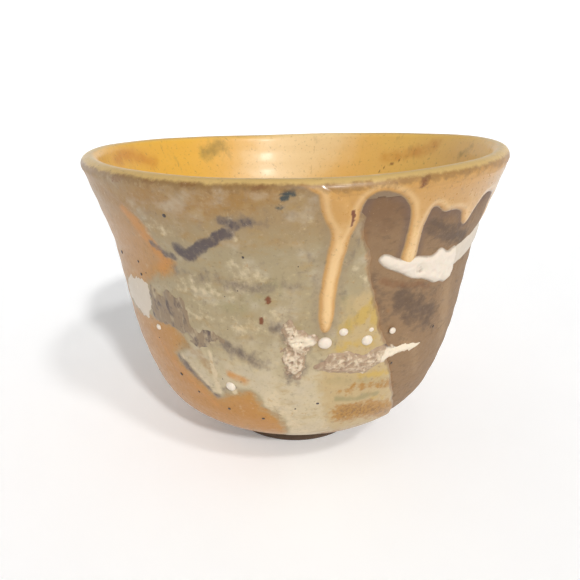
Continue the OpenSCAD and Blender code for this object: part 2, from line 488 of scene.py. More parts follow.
class Region(Enum):
    """Outlines of the pours and slips: bearing and level of each corner."""

    BARE = ((15, 104), (15, 89), (16, 83), (18, 78), (20, 68), (24, 56), (28, 45), (35, 29), (40, 22),
            (46, 14), (52, 2), (124, 2), (120, 30), (117, 60), (124, 104))
    YELLOW = ((13, 66), (21, 69), (34, 66), (54, 30), (64, 2), (16, 2), (12, 18), (8, 32), (7, 42), (12, 58))
    FRONT_ASH = ((-66, 104), (-52, 94), (-42, 89), (-39, 85), (-36, 79), (-32, 75), (-34, 71), (-41, 69),
                 (-47, 65.5), (-64, 62), (-64, 54), (-49, 54), (-38, 54), (-34, 49), (-39, 44), (-34, 39),
                 (-26, 31), (-20, 34), (-13, 35), (-11, 30), (-7, 27), (-4, 21), (-2, 2), (34, 2), (34, 104))
    BACK_ASH = ((158, 104), (232, 104), (222, 80), (214, 58), (204, 50), (200, 32), (192, 28), (187, 45),
                (178, 52), (172, 78))
    HONEY = ((4, 106), (4.6, 96), (6, 90), (8, 85), (7.2, 80), (7, 75), (6.2, 70), (6, 65), (6, 61),
             (7, 57.2), (8.2, 56.6), (9.4, 58.4), (10.2, 64), (10.4, 70), (11.2, 76), (12, 83), (13.4, 88),
             (14.4, 93), (16.2, 95.8), (19, 96.3), (22, 95), (24.6, 93), (26.2, 90), (27, 86), (27.2, 80),
             (27.3, 76.6), (28.3, 74.2), (30, 73.3), (31.6, 74.6), (32, 77), (31.3, 82), (31.4, 86.5),
             (32.3, 90), (34, 90.3), (37, 88.6), (41.5, 88.4), (44.5, 87), (46.6, 83.8), (48.4, 82.8),
             (50.2, 84.4), (52, 88), (55, 90.3), (60, 90.6), (66, 89), (71, 84), (74, 76), (77, 84),
             (82, 90), (90, 91), (98, 88), (103, 80), (107, 88), (118, 91), (132, 89), (140, 84),
             (146, 90), (157, 95), (162, 106))
    PATCH = ((20.6, 76.8), (22, 78.4), (25, 77.2), (28, 76.4), (33, 76.3), (38, 75.6), (41, 77), (45, 75.4),
             (49, 76), (50.5, 71), (49.5, 66.6), (47, 65.4), (44, 66), (42, 66.2), (38, 68), (32, 69.8),
             (27, 72.2), (23, 74.2))
    TRAIL = ((45.5, 74), (49, 75.6), (53, 76.6), (58, 77.6), (65, 78.8), (71, 78.6), (77, 76.8), (72, 74.4),
             (65, 72.4), (58, 70.8), (53, 70.2), (48, 69.8))
    STREAK = ((5.4, 45.4), (7.5, 47.4), (10, 50), (14, 50.2), (19, 48.6), (23, 50), (28, 49), (35, 48),
              (42.6, 46.2), (34, 45.2), (27, 44.8), (24, 43.6), (20, 41.6), (14, 42.8), (9, 43.6))
    CRUST = ((-3.6, 59), (-1, 60.6), (1.2, 58.4), (3.4, 56.6), (5.2, 56), (5.2, 52.6), (3, 51), (2.8, 47),
             (1.6, 43), (-0.4, 41), (-3, 45), (-4.4, 49), (-2.6, 53))
    FLASH = ((-64, 57), (-61, 62.6), (-55, 65), (-46.4, 66), (-45.8, 60.6), (-49, 54), (-54, 54))
    SMEAR = ((-45, 65), (-42, 64.6), (-40, 62.4), (-37.6, 66), (-35, 66), (-34, 63.4), (-31.4, 63),
             (-30, 57), (-28, 54.4), (-24, 55.6), (-20, 53), (-23, 51.6), (-26, 48.6), (-29, 49),
             (-33, 52), (-39, 54), (-46, 54.6))


class Marks:
    """Reads how far places lie inside each region, with the outlines laid on the plane once."""

    PERIOD = 2.0 * math.pi * Form.REF_R
    WANDER = 0.85
    # Thick glaze and slip pull themselves smooth
    SMOOTH = (Region.HONEY, Region.PATCH, Region.TRAIL)

    def __init__(self, form: Form) -> None:
        """Lay every region's outline on the plane.

        Args:
            form: The bowl's surface.
        """
        self.outlines = {region: rounded(form.flat(region.value)) for region in Region}
        self.grain = Grain(23)

    def hand_drawn(self, bearing: Array, s: Array, smooth_edge: bool = False) -> tuple[Array, Array]:
        """Plane coordinates, shifted a little so that no edge is a true curve.

        Args:
            bearing: Bearings, in degrees.
            s: Distances along the section, in mm.
            smooth_edge: Whether the edge wanders less.

        Returns:
            The two coordinates, in mm.
        """
        u, v = np.radians(bearing) * Form.REF_R, np.asarray(s, float)
        far, octaves = (0.35, 1) if smooth_edge else (self.WANDER, 4)
        return (u + far * self.grain.rough(u, v, 4.6, octaves),
                v + far * self.grain.rough(u + 40.0, v + 9.0, 4.6, octaves))

    def near(self, u: Array, outline: Array) -> Array:
        """Bring plane coordinates to the turn that an outline lies on."""
        centre = float(np.mean(outline[:, 0]))
        return u - self.PERIOD * np.round((u - centre) / self.PERIOD)

    def depth(self, region: Region, bearing: Array, s: Array) -> Array:
        """How far inside a region each place lies, in mm.

        Args:
            region: The region.
            bearing: Bearings, in degrees.
            s: Distances along the section, in mm.

        Returns:
            Signed distances, in mm.
        """
        u, v = self.hand_drawn(bearing, s, region in self.SMOOTH)
        outline = self.outlines[region]
        return inside_by(self.near(u, outline), v, outline)

    def ash(self, bearing: Array, s: Array) -> Array:
        """How far inside either ash pour each place lies, in mm."""
        return np.maximum(self.depth(Region.FRONT_ASH, bearing, s), self.depth(Region.BACK_ASH, bearing, s))


# ---- Painting: fields that the finishes read --------------------------------------------------------


@dataclass(frozen=True)
class Stroke:
    """A soft touch of colour along a line, or a spot where it has one place."""

    field: str
    width: float
    places: tuple[Place, ...]
    strength: float = 1.0
    soft: float = 0.7
    inside: bool = False


STROKES = (
    # Iron-violet streaks under the left of the lip
    Stroke("violet", 1.6, ((-38, 79.5), (-34, 77.6), (-31, 77)), 0.75),
    Stroke("violet", 2.4, ((-29, 79.4), (-26, 78.2), (-23, 80), (-19, 83), (-15, 85.6)), 1.0),
    Stroke("violet", 1.9, ((-15.6, 89), (-13, 88), (-10, 89)), 0.75),
    Stroke("violet", 3.4, ((-14, 90), (-9, 88), (-4, 90), (0, 92)), 0.34, 1.0),
    Stroke("violet", 3.6, ((-32, 73), (-22, 72), (-12, 70), (0, 71)), 0.42, 1.0),
    Stroke("violet", 2.2, ((3.6, 80), (4.4, 74), (5, 62)), 0.34, 1.0),
    Stroke("violet", 1.8, ((14, 84), (12.6, 74), (11.6, 64)), 0.3, 1.0),
    Stroke("violet", 2.0, ((-38, 43.6), (-32, 37), (-26, 32)), 0.7, 1.0),
    Stroke("violet", 1.6, ((-23, 35), (-19, 37)), 0.7, 1.0),
    Stroke("violet", 4.0, ((-20, 52), (-15, 49), (-9, 47)), 0.62, 1.0),
    Stroke("violet", 4.4, ((-4, 58), (1, 53), (2, 46), (-1, 42)), 0.6, 1.0),
    Stroke("violet", 2.2, ((6, 48), (14, 44), (24, 46)), 0.5, 1.0),
    # Teal pools
    Stroke("teal", 1.5, ((-2.2, 95.6), (-0.4, 96.6)), 1.0, 1.0),
    Stroke("teal", 1.0, ((-3.4, 93),), 0.8, 0.8),
    Stroke("teal", 1.8, ((12.4, 88), (12.6, 83)), 0.4, 1.0),
    # Rust
    Stroke("rust", 1.2, ((-7, 67.4), (-7, 66.4)), 1.0, 0.8),
    Stroke("rust", 1.1, ((-9, 60.6), (-9, 59.6)), 1.0, 0.8),
    Stroke("rust", 0.6, ((12.6, 91.6), (12, 88)), 1.0, 0.5),
    Stroke("rust", 1.6, ((23, 70.6), (27, 68.8), (33, 67.4), (40, 65.6)), 0.6),
    Stroke("rust", 1.3, ((-23, 98), (-20, 98.6)), 0.6),
    Stroke("rust", 1.4, ((-44, 97.6), (-39, 98)), 0.5),
    Stroke("rust", 1.2, ((-33, 98.2), (-30, 98)), 0.5),
    Stroke("chalk", 0.8, ((3.2, 99), (4.4, 99)), 1.0, 0.8),
    Stroke("rust", 1.1, ((-16, 99), (-13, 99)), 0.6),
    Stroke("rust", 1.0, ((-8, 98), (-5, 98)), 0.7),
    Stroke("rust", 1.6, ((28, 99.6), (27, 97)), 0.8),
    Stroke("rust", 0.9, ((60, 99), (66, 98.6)), 0.5),
    # Ochre tint under the lip and lower down
    Stroke("ochre", 7.0, ((-60, 96), (-45, 91), (-33, 94), (-24, 92), (-11, 95), (-5, 98)), 0.9, 1.0),
    Stroke("ochre", 4.0, ((-42, 76), (-36, 71), (-44, 68)), 0.4, 1.0),
    Stroke("ochre", 2.6, ((-26, 84), (-12, 82), (-2, 84)), 0.45, 1.0),
    Stroke("ochre", 3.0, ((-34, 49), (-29, 46), (-26, 42)), 0.7, 1.0),
    # Orange flames along the edge of the amber
    Stroke("orange", 3.6, ((-44, 88), (-40, 83), (-37.6, 79), (-34.6, 75), (-37, 72)), 1.0, 1.0),
    Stroke("orange", 3.0, ((-50, 50), (-44, 43), (-36, 35), (-28, 27)), 0.6, 1.0),
    Stroke("orange", 2.8, ((-19, 41.4), (-16, 40)), 0.9, 1.0),
    Stroke("orange", 1.4, ((26, 61),), 0.6, 1.0),
    Stroke("orange", 1.5, ((15.6, 86), (18.6, 74), (22.6, 61), (28, 46), (35, 30)), 0.55, 1.0),
    # Cream drips and clouds
    Stroke("cream", 4.4, ((-30, 69), (-20, 67), (-9, 73), (-14, 76)), 0.42, 1.0),
    Stroke("cream", 3.0, ((-38, 84), (-34, 86), (-30, 84)), 0.4, 1.0),
    Stroke("cream", 1.4, ((-14, 91), (-13.6, 84)), 0.45, 1.0),
    Stroke("cream", 1.6, ((-27, 72), (-26, 60)), 0.5, 1.0),
    Stroke("cream", 1.8, ((-36, 44), (-32, 40), (-27, 34)), 0.6, 1.0),
    Stroke("cream", 1.3, ((-25, 48), (-25, 40), (-25, 34)), 0.8, 0.8),
    Stroke("cream", 1.5, ((-20, 37), (-18.6, 35.6)), 1.0, 0.8),
    Stroke("cream", 2.2, ((8, 32), (10, 24), (13, 15)), 0.4, 1.0),
    Stroke("cream", 5.4, ((-8, 34), (-2, 27), (2, 19), (5, 12)), 0.6, 1.0),
    Stroke("cream", 4.0, ((-38, 58), (-26, 60), (-14, 57), (-5, 62)), 0.3, 1.0),
    Stroke("cream", 2.0, ((12, 78), (17, 73), (20, 70)), 0.35, 1.0),
    # Caramel mottle low in the yellow, green where it is thick
    Stroke("caramel", 6.4, ((16, 27), (26, 26), (38, 21)), 1.0, 1.0),
    Stroke("caramel", 2.6, ((14, 36), (24, 37), (34, 34)), 0.6, 1.0),
    Stroke("caramel", 6.0, ((14, 15), (26, 14), (42, 11)), 0.9, 1.0),
    Stroke("green", 3.0, ((10, 41), (20, 39), (31, 36)), 0.5, 1.0),
    Stroke("green", 2.0, ((13, 33.6), (20, 32.4), (27, 32.6)), 0.8, 1.0),
    Stroke("green", 3.0, ((12, 68), (15, 62), (14, 56)), 0.5, 1.0),
    Stroke("green", 6.0, ((-24, 66), (-14, 64), (-6, 70)), 0.4, 1.0),
    Stroke("lemon", 3.4, ((13, 57), (17, 60), (20, 64), (22, 58)), 0.9, 1.0),
    Stroke("lemon", 3.0, ((12, 52), (22, 52.6)), 0.6, 1.0),
    Stroke("lemon", 2.4, ((20, 41), (30, 40)), 0.85, 1.0),
    Stroke("lemon", 2.0, ((26, 31), (33, 29)), 0.6, 1.0),
    # The far side: drips and clouds where the second ash pour ran
    Stroke("violet", 2.4, ((166, 84), (172, 80), (180, 83), (188, 79)), 0.8, 1.0),
    Stroke("violet", 3.6, ((196, 62), (204, 56), (212, 58)), 0.55, 1.0),
    Stroke("violet", 3.0, ((-120, 60), (-112, 54), (-104, 56)), 0.5, 1.0),
    Stroke("cream", 2.0, ((190, 76), (192, 60), (194, 44)), 0.6, 1.0),
    Stroke("cream", 4.0, ((-118, 72), (-106, 68)), 0.4, 1.0),
    Stroke("caramel", 5.0, ((-150, 40), (-130, 30), (-112, 34)), 0.5, 1.0),
    Stroke("green", 7.0, ((-140, 78), (-118, 84), (-96, 78)), 0.6, 1.0),
    Stroke("ochre", 7.0, ((134, 64), (144, 52), (150, 40)), 0.6, 1.0),
    Stroke("lemon", 6.0, ((-90, 64), (-76, 58)), 0.4, 1.0),
    Stroke("green", 6.0, ((182, 70), (204, 76), (216, 80)), 0.6, 1.0),
    Stroke("orange", 4.0, ((150, 70), (158, 50), (170, 34)), 0.6, 1.0),
    Stroke("orange", 4.0, ((-100, 40), (-84, 30), (-70, 34)), 0.6, 1.0),
    Stroke("ochre", 6.0, ((130, 88), (150, 86)), 0.6, 1.0),
    Stroke("ochre", 6.0, ((-140, 92), (-110, 90), (-84, 92)), 0.7, 1.0),
    Stroke("smoke", 10.0, ((78, 58), (92, 46), (100, 36)), 0.35, 1.0),
    Stroke("pale_clay", 7.0, ((84, 74), (108, 66)), 0.5, 1.0),
    # Smoke and pits on the bare clay
    Stroke("smoke", 7.4, ((30, 64), (35, 60), (42, 56)), 0.8, 1.0),
    Stroke("smoke", 3.4, ((26, 64), (31, 60)), 0.5, 1.0),
    Stroke("smoke", 3.0, ((38, 66), (46, 62)), 0.4, 1.0),
    Stroke("smoke", 5.0, ((35, 85), (44, 80), (52, 78)), 0.75, 1.0),
    Stroke("smoke", 4.0, ((20, 72), (22, 66), (25, 58)), 0.4, 1.0),
    Stroke("smoke", 0.8, ((46, 51),), 1.0),
    Stroke("smoke", 0.7, ((30, 43),), 1.0),
    Stroke("pale_clay", 6.0, ((50, 62), (57, 44)), 0.7, 1.0),
    Stroke("pale_clay", 3.5, ((34, 50), (40, 44), (44, 36)), 0.5, 1.0),
    # Chalk-white ends of the streak and the crust
    Stroke("chalk", 2.4, ((27, 46.6), (35, 46.8), (43, 46.2)), 1.0, 0.6),
    Stroke("chalk", 2.0, ((0, 54), (4, 54)), 0.8, 0.8),
    # Inside
    Stroke("olive", 6.0, ((-150, 96), (-144, 93)), 0.7, 1.0, True),
    Stroke("olive", 3.0, ((99, 99), (104, 95)), 0.5, 1.0, True),
    Stroke("orange", 5.0, ((-96, 96), (-108, 96), (-118, 92)), 0.7, 1.0, True),
    Stroke("orange", 4.5, ((142, 91), (129, 94), (119, 98)), 0.6, 1.0, True),
    Stroke("rust", 0.6, ((143, 85), (141.4, 87), (138.6, 88.4), (135, 91)), 0.8, 0.5, True),
    Stroke("rust", 0.4, ((173, 83), (172.4, 90), (172, 96)), 0.5, 0.5, True),
    Stroke("pale", 24.0, ((172, 99), (187, 84)), 0.95, 1.0, True),
)

FIELDS = ("chalk", "lemon", "violet", "teal", "rust", "ochre", "orange", "cream", "caramel", "green",
          "smoke", "pale_clay", "olive", "pale")


class Painting:
    """Works out every field that the glaze colours read, for any place on the section."""

    def __init__(self, form: Form, marks: Marks) -> None:
        """Lay the strokes on the plane.

        Args:
            form: The bowl's surface.
            marks: The outlines of the pours.
        """
        self.form = form
        self.marks = marks
        self.lines = [(stroke, form.flat(stroke.places, stroke.inside)) for stroke in STROKES]

    def fields(self, bearing: Array, s: Array) -> dict[str, Array]:
        """Every field at some places.

        Args:
            bearing: Bearings, in degrees.
            s: Distances along the section, in mm.

        Returns:
            One array for each field's name.
        """
        u, v = self.marks.hand_drawn(bearing, s)
        out = {name: np.zeros(u.shape) for name in FIELDS}
        for stroke, line in self.lines:
            near = self.marks.near(u, line)
            gap = line_gap(near, v, line)
            touch = stroke.strength * (1.0 - smooth(gap, stroke.width * (1.0 - stroke.soft), stroke.width))
            out[stroke.field] = np.maximum(out[stroke.field], touch)
        out["ash"] = self.marks.ash(bearing, s)
        for name, region in (("yellow", Region.YELLOW), ("bare", Region.BARE), ("honey", Region.HONEY)):
            out[name] = self.marks.depth(region, bearing, s)
        out["rim"] = s - self.form.crest_s
        out["level"] = self.form.level_of(s)
        turn = np.radians(bearing)
        out["high"] = smooth(out["level"], 74.0, 98.0) * (out["rim"] < 0.0)
        out["low"] = smooth(out["level"], 64.0, 30.0) * (out["rim"] < 0.0)
        out["left"] = smooth(-np.sin(turn), 0.1, 0.95)
        out["right"] = smooth(np.sin(turn), 0.2, 0.95)
        return out


def line_gap(u: Array, v: Array, line: Array) -> Array:
    """Distance from each point to a line of places.

    Args:
        u: First plane coordinate, in mm.
        v: Second plane coordinate, in mm.
        line: The line's points, in mm.

    Returns:
        Distances, in mm.
    """
    if len(line) == 1:
        return np.hypot(u - line[0, 0], v - line[0, 1])
    gap = np.full(np.shape(u), 1e9)
    for a, b in zip(line[:-1], line[1:]):
        way = b - a
        t = np.clip(((u - a[0]) * way[0] + (v - a[1]) * way[1]) / float(way @ way), 0.0, 1.0)
        gap = np.minimum(gap, np.hypot(u - a[0] - t * way[0], v - a[1] - t * way[1]))
    return gap


# ---- Sheets -----------------------------------------------------------------------------------------


@dataclass(frozen=True)
class Window:
    """A stretch of the section, and of the turn, that a sheet is laid out over."""

    bearings: Array
    path: Array
    turn: bool = False
    pole: bool = False

    @staticmethod
    def over(low: Place, high: Place, form: Form, step: float) -> "Window":
        """Lay out a window between two places.

        Args:
            low: Its least bearing and level.
            high: Its greatest bearing and level.
            form: The bowl's surface.
            step: Distance between grid lines, in mm.

        Returns:
            The window.
        """
        across = int(math.radians(high[0] - low[0]) * Form.REF_R / step)
        start, end = float(form.s_of(low[1], low[0])), float(form.s_of(high[1], high[0]))
        up = int((end - start) / step)
        return Window(np.linspace(low[0], high[0], across), np.linspace(start, end, up))


Coat = Callable[[Array, Array], tuple[Array, Array]]


class Potter:
    """Makes closed meshes that lie on the form and carry the painting's fields."""

    def __init__(self, form: Form, marks: Marks, painting: Painting) -> None:
        """Keep the form and the painting at hand.

        Args:
            form: The bowl's surface.
            marks: The outlines of the pours.
            painting: The fields of colour.
        """
        self.form = form
        self.marks = marks
        self.painting = painting

    @staticmethod
    def mesh(name: str, points: Array, faces: list[list[int]], fields: dict[str, Array]) -> bpy.types.Object:
        """Make one object from points in mm.

        Args:
            name: The piece's name.
            points: Its points, in mm.
            faces: Its faces.
            fields: Numbers carried by each point.

        Returns:
            The object, in the scene.
        """
        mesh = bpy.data.meshes.new(name)
        mesh.from_pydata((points * MM).tolist(), [], faces)
        for key, values in fields.items():
            mesh.attributes.new(key, "FLOAT", "POINT").data.foreach_set("value", values.astype(np.float32))
        mesh.shade_smooth()
        mesh.set_sharp_from_angle(angle=math.radians(62.0))
        piece = bpy.data.objects.new(name, mesh)
        bpy.context.scene.collection.objects.link(piece)
        return piece

    def shell(self, name: str, windows: Sequence[Window], coat: Coat, under: float) -> bpy.types.Object:
        """Make a closed sheet that lies on the form.

        Args:
            name: The piece's name.
            windows: Stretches that it is laid out over.
            coat: Gives the lift of its face and how far inside the sheet each place is, in mm.
            under: Lift of its underside, in mm.

        Returns:
            The object.
        """
        points, faces, fields, count = [], [], {}, 0
        for window in windows:
            b, s = np.meshgrid(window.bearings, window.path, indexing="ij")
            lift, depth = coat(b, s)
            top = self.form.place(b, s, lift)
            base = self.form.place(b, s, np.minimum(under, lift - 0.05))
            index = np.arange(b.size).reshape(b.shape)
            if window.pole:
                index[:, -1] = index[0, -1]
            if window.turn:
                index = np.vstack([index, index[:1]])
                depth = np.vstack([depth, depth[:1]])
            inner = np.maximum(np.maximum(depth[:-1, :-1], depth[1:, :-1]),
                               np.maximum(depth[:-1, 1:], depth[1:, 1:]))
            cells = self.closed(index, inner > 0.0, b.size, window)
            faces += [[count + k for k in cell] for cell in cells]
            points += [top.reshape(-1, 3), base.reshape(-1, 3)]
            for key, values in self.painting.fields(b, s).items():
                fields.setdefault(key, []).extend([values.ravel()] * 2)
            fields.setdefault("lift", []).extend([lift.ravel()] * 2)
            count += 2 * b.size
        return self.trimmed(name, np.concatenate(points), faces,
                            {key: np.concatenate(parts) for key, parts in fields.items()})

    def trimmed(self, name: str, points: Array, faces: list[list[int]],
                fields: dict[str, Array]) -> bpy.types.Object:
        """Drop the points that no face uses and make the object.

        Args:
            name: The piece's name.
            points: Points, in mm.
            faces: Faces.
            fields: Numbers carried by each point.

        Returns:
            The object.
        """
        used = np.zeros(len(points), bool)
        used[np.fromiter((k for face in faces for k in face), int)] = True
        fresh = np.cumsum(used) - 1
        faces = [fresh[face].tolist() for face in faces]
        return self.mesh(name, points[used], faces, {key: values[used] for key, values in fields.items()})

    @staticmethod
    def closed(index: Array, keep: Array, under: int, window: Window) -> list[list[int]]:
        """Faces of the top, the underside and the edges of the kept cells.

        Args:
            index: Number of each grid point.
            keep: Which cells are kept.
            under: Number of points before those of the underside.
            window: The window that the grid covers.

        Returns:
            The faces.
        """
        corner = [index[:-1, :-1], index[1:, :-1], index[1:, 1:], index[:-1, 1:]]
        fence = np.pad(keep, 1)
        if window.turn:
            fence[0, 1:-1], fence[-1, 1:-1] = keep[-1], keep[0]
        if window.pole:
            fence[1:-1, -1] = True
        beyond = [fence[1:-1, :-2], fence[2:, 1:-1], fence[1:-1, 2:], fence[:-2, 1:-1]]
        top = np.stack([c[keep] for c in corner], -1)
        faces = [top, top[:, ::-1] + under]
        for side in range(4):
            edge = keep & ~beyond[side]
            p, q = corner[side][edge], corner[(side + 1) % 4][edge]
            faces.append(np.stack([q, p, p + under, q + under], -1))
        rows = np.concatenate(faces).tolist()
        return [list(dict.fromkeys(row)) for row in rows]

    def turned(self, name: str, bearings: Array, lines: Array) -> bpy.types.Object:
        """Turn a closed section whose two ends lie on the axis, or a ring that closes on itself.

        Args:
            name: The piece's name.
            bearings: Bearings of the columns, in degrees.
            lines: Distance along the section, radius and height of each row, or rows for each column.

        Returns:
            The object.
        """
        s, r, z = (np.broadcast_to(lines[..., k], (len(bearings), lines.shape[-2])) for k in range(3))
        b = np.broadcast_to(bearings[:, None], s.shape)
        turn = np.radians(b)
        points = np.stack([r * np.sin(turn), -r * np.cos(turn), z], -1)
        index = np.arange(s.size).reshape(s.shape)
        for column in (0, -1):
            if float(np.max(np.abs(r[:, column]))) < 1e-6:
                index[:, column] = index[0, column]
        index = np.vstack([index, index[:1]])
        rows = np.stack([index[:-1, :-1], index[1:, :-1], index[1:, 1:], index[:-1, 1:]], -1).reshape(-1, 4)
        faces = [list(dict.fromkeys(row)) for row in rows.tolist()]
        values = {key: v.ravel() for key, v in self.painting.fields(b, s).items()}
        return self.trimmed(name, points.reshape(-1, 3), faces, values)


# ---- Finishes ---------------------------------------------------------------------------------------

# Red, green and blue that a surface reflects, as a share of the chip's
CHIP_DEPTH = (0.82, 0.75, 0.62)


def srgb(code: str) -> tuple[float, float, float, float]:
    """Turn a hex colour linear.

    Args:
        code: Six hex digits after a hash.

    Returns:
        Linear red, green, blue and one for alpha.
    """
    parts = [int(code[k:k + 2], 16) / 255.0 for k in (1, 3, 5)]
    return (*(c / 12.92 if c <= 0.04045 else ((c + 0.055) / 1.055) ** 2.4 for c in parts), 1.0)


def chip(code: str) -> tuple[float, float, float, float]:
    """Colour of a glaze chip seen in bright light, brought down to what the surface itself reflects.

    Args:
        code: Six hex digits after a hash.

    Returns:
        Linear red, green, blue and one for alpha.
    """
    return (*(depth * c for depth, c in zip(CHIP_DEPTH, srgb(code))), 1.0)


def add_node(tree: bpy.types.NodeTree, kind: str, inputs: dict | None = None,
             **settings: object) -> bpy.types.Node:
    """Add a node with its settings and links.

    Args:
        tree: The tree that it joins.
        kind: The node's type.
        inputs: A value or an output for each named or numbered input.
        settings: The node's own settings.

    Returns:
        The node.
    """
    made = tree.nodes.new(kind)
    for key, value in settings.items():
        setattr(made, key, value)
    for key, value in (inputs or {}).items():
        if isinstance(value, bpy.types.NodeSocket):
            tree.links.new(value, made.inputs[key])
        else:
            made.inputs[key].default_value = value
    return made


class Bench:
    """A material's node tree, with the few moves that the finishes are made of."""

    def __init__(self, name: str) -> None:
        """Start an empty tree.

        Args:
            name: The material's name.
        """
        self.material = bpy.data.materials.new(name)
        self.material.use_nodes = True
        self.tree = self.material.node_tree
        self.tree.nodes.clear()
        self.where = self.node("ShaderNodeTexCoord").outputs["Object"]
        self._grains: dict[tuple, object] = {}

    def node(self, kind: str, inputs: dict | None = None, **settings: object) -> bpy.types.Node:
        """Add a node to the material."""
        return add_node(self.tree, kind, inputs, **settings)

    def grain(self, size: float, tall: float = 1.0) -> object:
        """Noise about zero whose lumps are a size across; each kind is made once.

        Args:
            size: Size of the lumps, in mm.
            tall: How much taller than wide the lumps are.

        Returns:
            The output, from about -0.5 to 0.5.
        """
        key = (size, tall)
        if key not in self._grains:
            at = self.node("ShaderNodeMapping", {0: self.where, "Scale": (1.0, 1.0, 1.0 / tall)}).outputs[0]
            noise = self.node("ShaderNodeTexNoise", {"Vector": at, "Scale": 1.0 / (size * MM),
                                                     "Detail": 4.0, "Roughness": 0.6}).outputs["Fac"]
            self._grains[key] = self.math("SUBTRACT", noise, 0.5)
        return self._grains[key]

    def math(self, what: str, a: object, b: object = 0.0) -> object:
        """One sum on two numbers."""
        return self.node("ShaderNodeMath", {0: a, 1: b}, operation=what).outputs[0]

    def read(self, name: str) -> object:
        """A field that the piece carries."""
        return self.node("ShaderNodeAttribute", attribute_name=name, attribute_type="GEOMETRY").outputs["Fac"]

    def grade(self, value: object, low: float, high: float, most: float = 1.0) -> object:
        """Rise softly from 0 at low to most at high."""
        return self.node("ShaderNodeMapRange", {0: value, 1: low, 2: high, 4: most},
                         interpolation_type="SMOOTHSTEP").outputs[0]

    def blend(self, amount: object, a: object, b: object) -> object:
        """Mix two colours."""
        return self.node("ShaderNodeMix", {0: amount, 6: a, 7: b}, data_type="RGBA").outputs[2]


@dataclass(frozen=True)
class Wash:
    """One colour laid over those before it where a field, broken up by grain, is high."""

    field: str | None
    colour: str
    low: float
    high: float
    grain: float = 0.0
    size: float = 1.6
    most: float = 1.0
    tall: float = 1.0
    fade: str | None = None


# Laid in this order, so the later ones lie over the earlier ones, as the pours do
GLAZE_WASHES = (
    # Peach-amber glaze, deeper where it pools low on the wall
    Wash("level", "#bd883e", 70.0, 34.0, 26.0, 9.0),
    # Grey-green ash pour, with a flame of orange where it thins out over the amber
    Wash("ash", "#c08c3a", -4.6, -0.6, 4.0, 3.0, 0.85),
    Wash("ash", "#aca084", -1.9, 1.7, 5.0, 2.0),
    Wash("high", "#a5875a", 0.0, 1.0, 1.0, 4.0, 0.7),
    Wash("low", "#d2c7b0", 0.0, 1.0, 1.0, 4.0, 0.9, fade="ash"),
    Wash("green", "#9c9872", 0.1, 0.9, 0.9, 2.6, 0.9),
    Wash("ochre", "#a8803e", 0.1, 1.0, 1.2, 2.2, 0.85),
    # Veils in the ash: chalky lilac clouds, ochre bands and violet mottle
    Wash(None, "#c9c1b6", -0.04, 0.24, 1.0, 7.0, 0.6, 0.8, "ash"),
    Wash(None, "#b0955f", 0.0, 0.26, -1.0, 5.6, 0.55, 0.5, "ash"),
    Wash(None, "#847671", 0.08, 0.30, 1.0, 3.4, 0.5, 0.8, "ash"),
    Wash("cream", "#ddd0b8", 0.15, 0.9, 2.0, 1.8, 0.9),
    # Yellow glaze beside the long run, caramel where it thins towards the foot
    Wash("yellow", "#c2ae86", -1.4, 2.2, 4.4, 2.0),
    Wash("lemon", "#c9ab4a", 0.2, 1.0, 1.8, 1.8, 0.75),
    Wash("green", "#9d956c", 0.2, 0.9, 1.1, 2.0, 0.85, fade="yellow"),
    Wash("caramel", "#b0822f", 0.15, 0.8, 2.0, 1.4, 0.95),
    Wash("caramel", "#84602a", 0.8, 1.3, 3.0, 0.9, 0.7),
    Wash("orange", "#cd8f3a", 0.15, 1.0, 1.1, 2.2, 0.85),
    # Iron-violet, teal and rust breaking through
    Wash("chalk", "#eee4d6", 0.3, 0.9, 0.6, 0.8, 0.9, fade="ash"),
    Wash("violet", "#776a64", 0.10, 0.85, 1.6, 2.2, 0.8, 1.5),
    Wash("violet", "#51464e", 0.50, 1.05, 1.4, 1.1, 0.85, 1.4),
    Wash("teal", "#33434a", 0.2, 0.9, 1.6, 1.1, 0.95),
    # Bare clay shows through past the edge of the pours
    Wash("bare", "#7e5e3c", -1.0, -0.1, 1.4, 1.2, 0.6),
    # Honey glaze: a soft brown-grey halo, partly the glaze's own and partly painted shadow beside the raised
    # runs, a clear amber edge and a paler core
    Wash("honey", "#8f7c68", -2.6, 0.0, 2.8, 1.4, 0.35),
    Wash("honey", "#cd9f5c", -0.3, 0.4, 0.3, 1.0),
    Wash("honey", "#f0cf9e", 0.2, 1.5, 0.6, 1.6),
    Wash("high", "#c79646", 0.1, 1.0, 0.8, 3.0, 0.85, fade="honey"),
    Wash("rust", "#7c451f", 0.2, 0.9, 0.9, 0.8),
    # The lip: broken brown dabs under a pale band of thin glaze
    Wash("rim", "#8a6a3c", -4.2, -2.5, 5.4, 2.2, 0.65),
    Wash("rim", "#d9bd80", -2.5, -1.4, 2.2, 1.8),
    # Inside: amber to the left and right, cream at the back
    Wash("rim", "#f5ca76", 0.2, 1.8, 1.0, 2.0),
    Wash("left", "#f9c94e", 0.1, 1.0, 0.4, 6.0, 0.95, fade="rim"),
    Wash("right", "#fbd878", 0.1, 0.9, 0.5, 6.0, 0.95, fade="rim"),
    Wash("pale", "#fde6b8", 0.0, 0.9, 0.5, 4.0, 0.9),
    Wash("olive", "#a8924c", 0.1, 0.9, 1.0, 2.4, 0.8),
    Wash("orange", "#d9922e", 0.1, 1.0, 0.7, 3.0, 0.85, fade="rim"),
    Wash("rust", "#8d5a2a", 0.3, 0.8, 0.5, 0.7, 0.8, fade="rim"),
    # Fine mottle all over: pale crystals, and grey-brown where the glaze draws thin
    Wash(None, "#efe4d2", 0.10, 0.34, 1.0, 0.5, 0.35),
    Wash(None, "#6b5a46", 0.06, 0.30, -1.0, 1.0, 0.5),
    Wash(None, "#86724f", 0.08, 0.34, 1.0, 3.4, 0.35, 2.4),
)

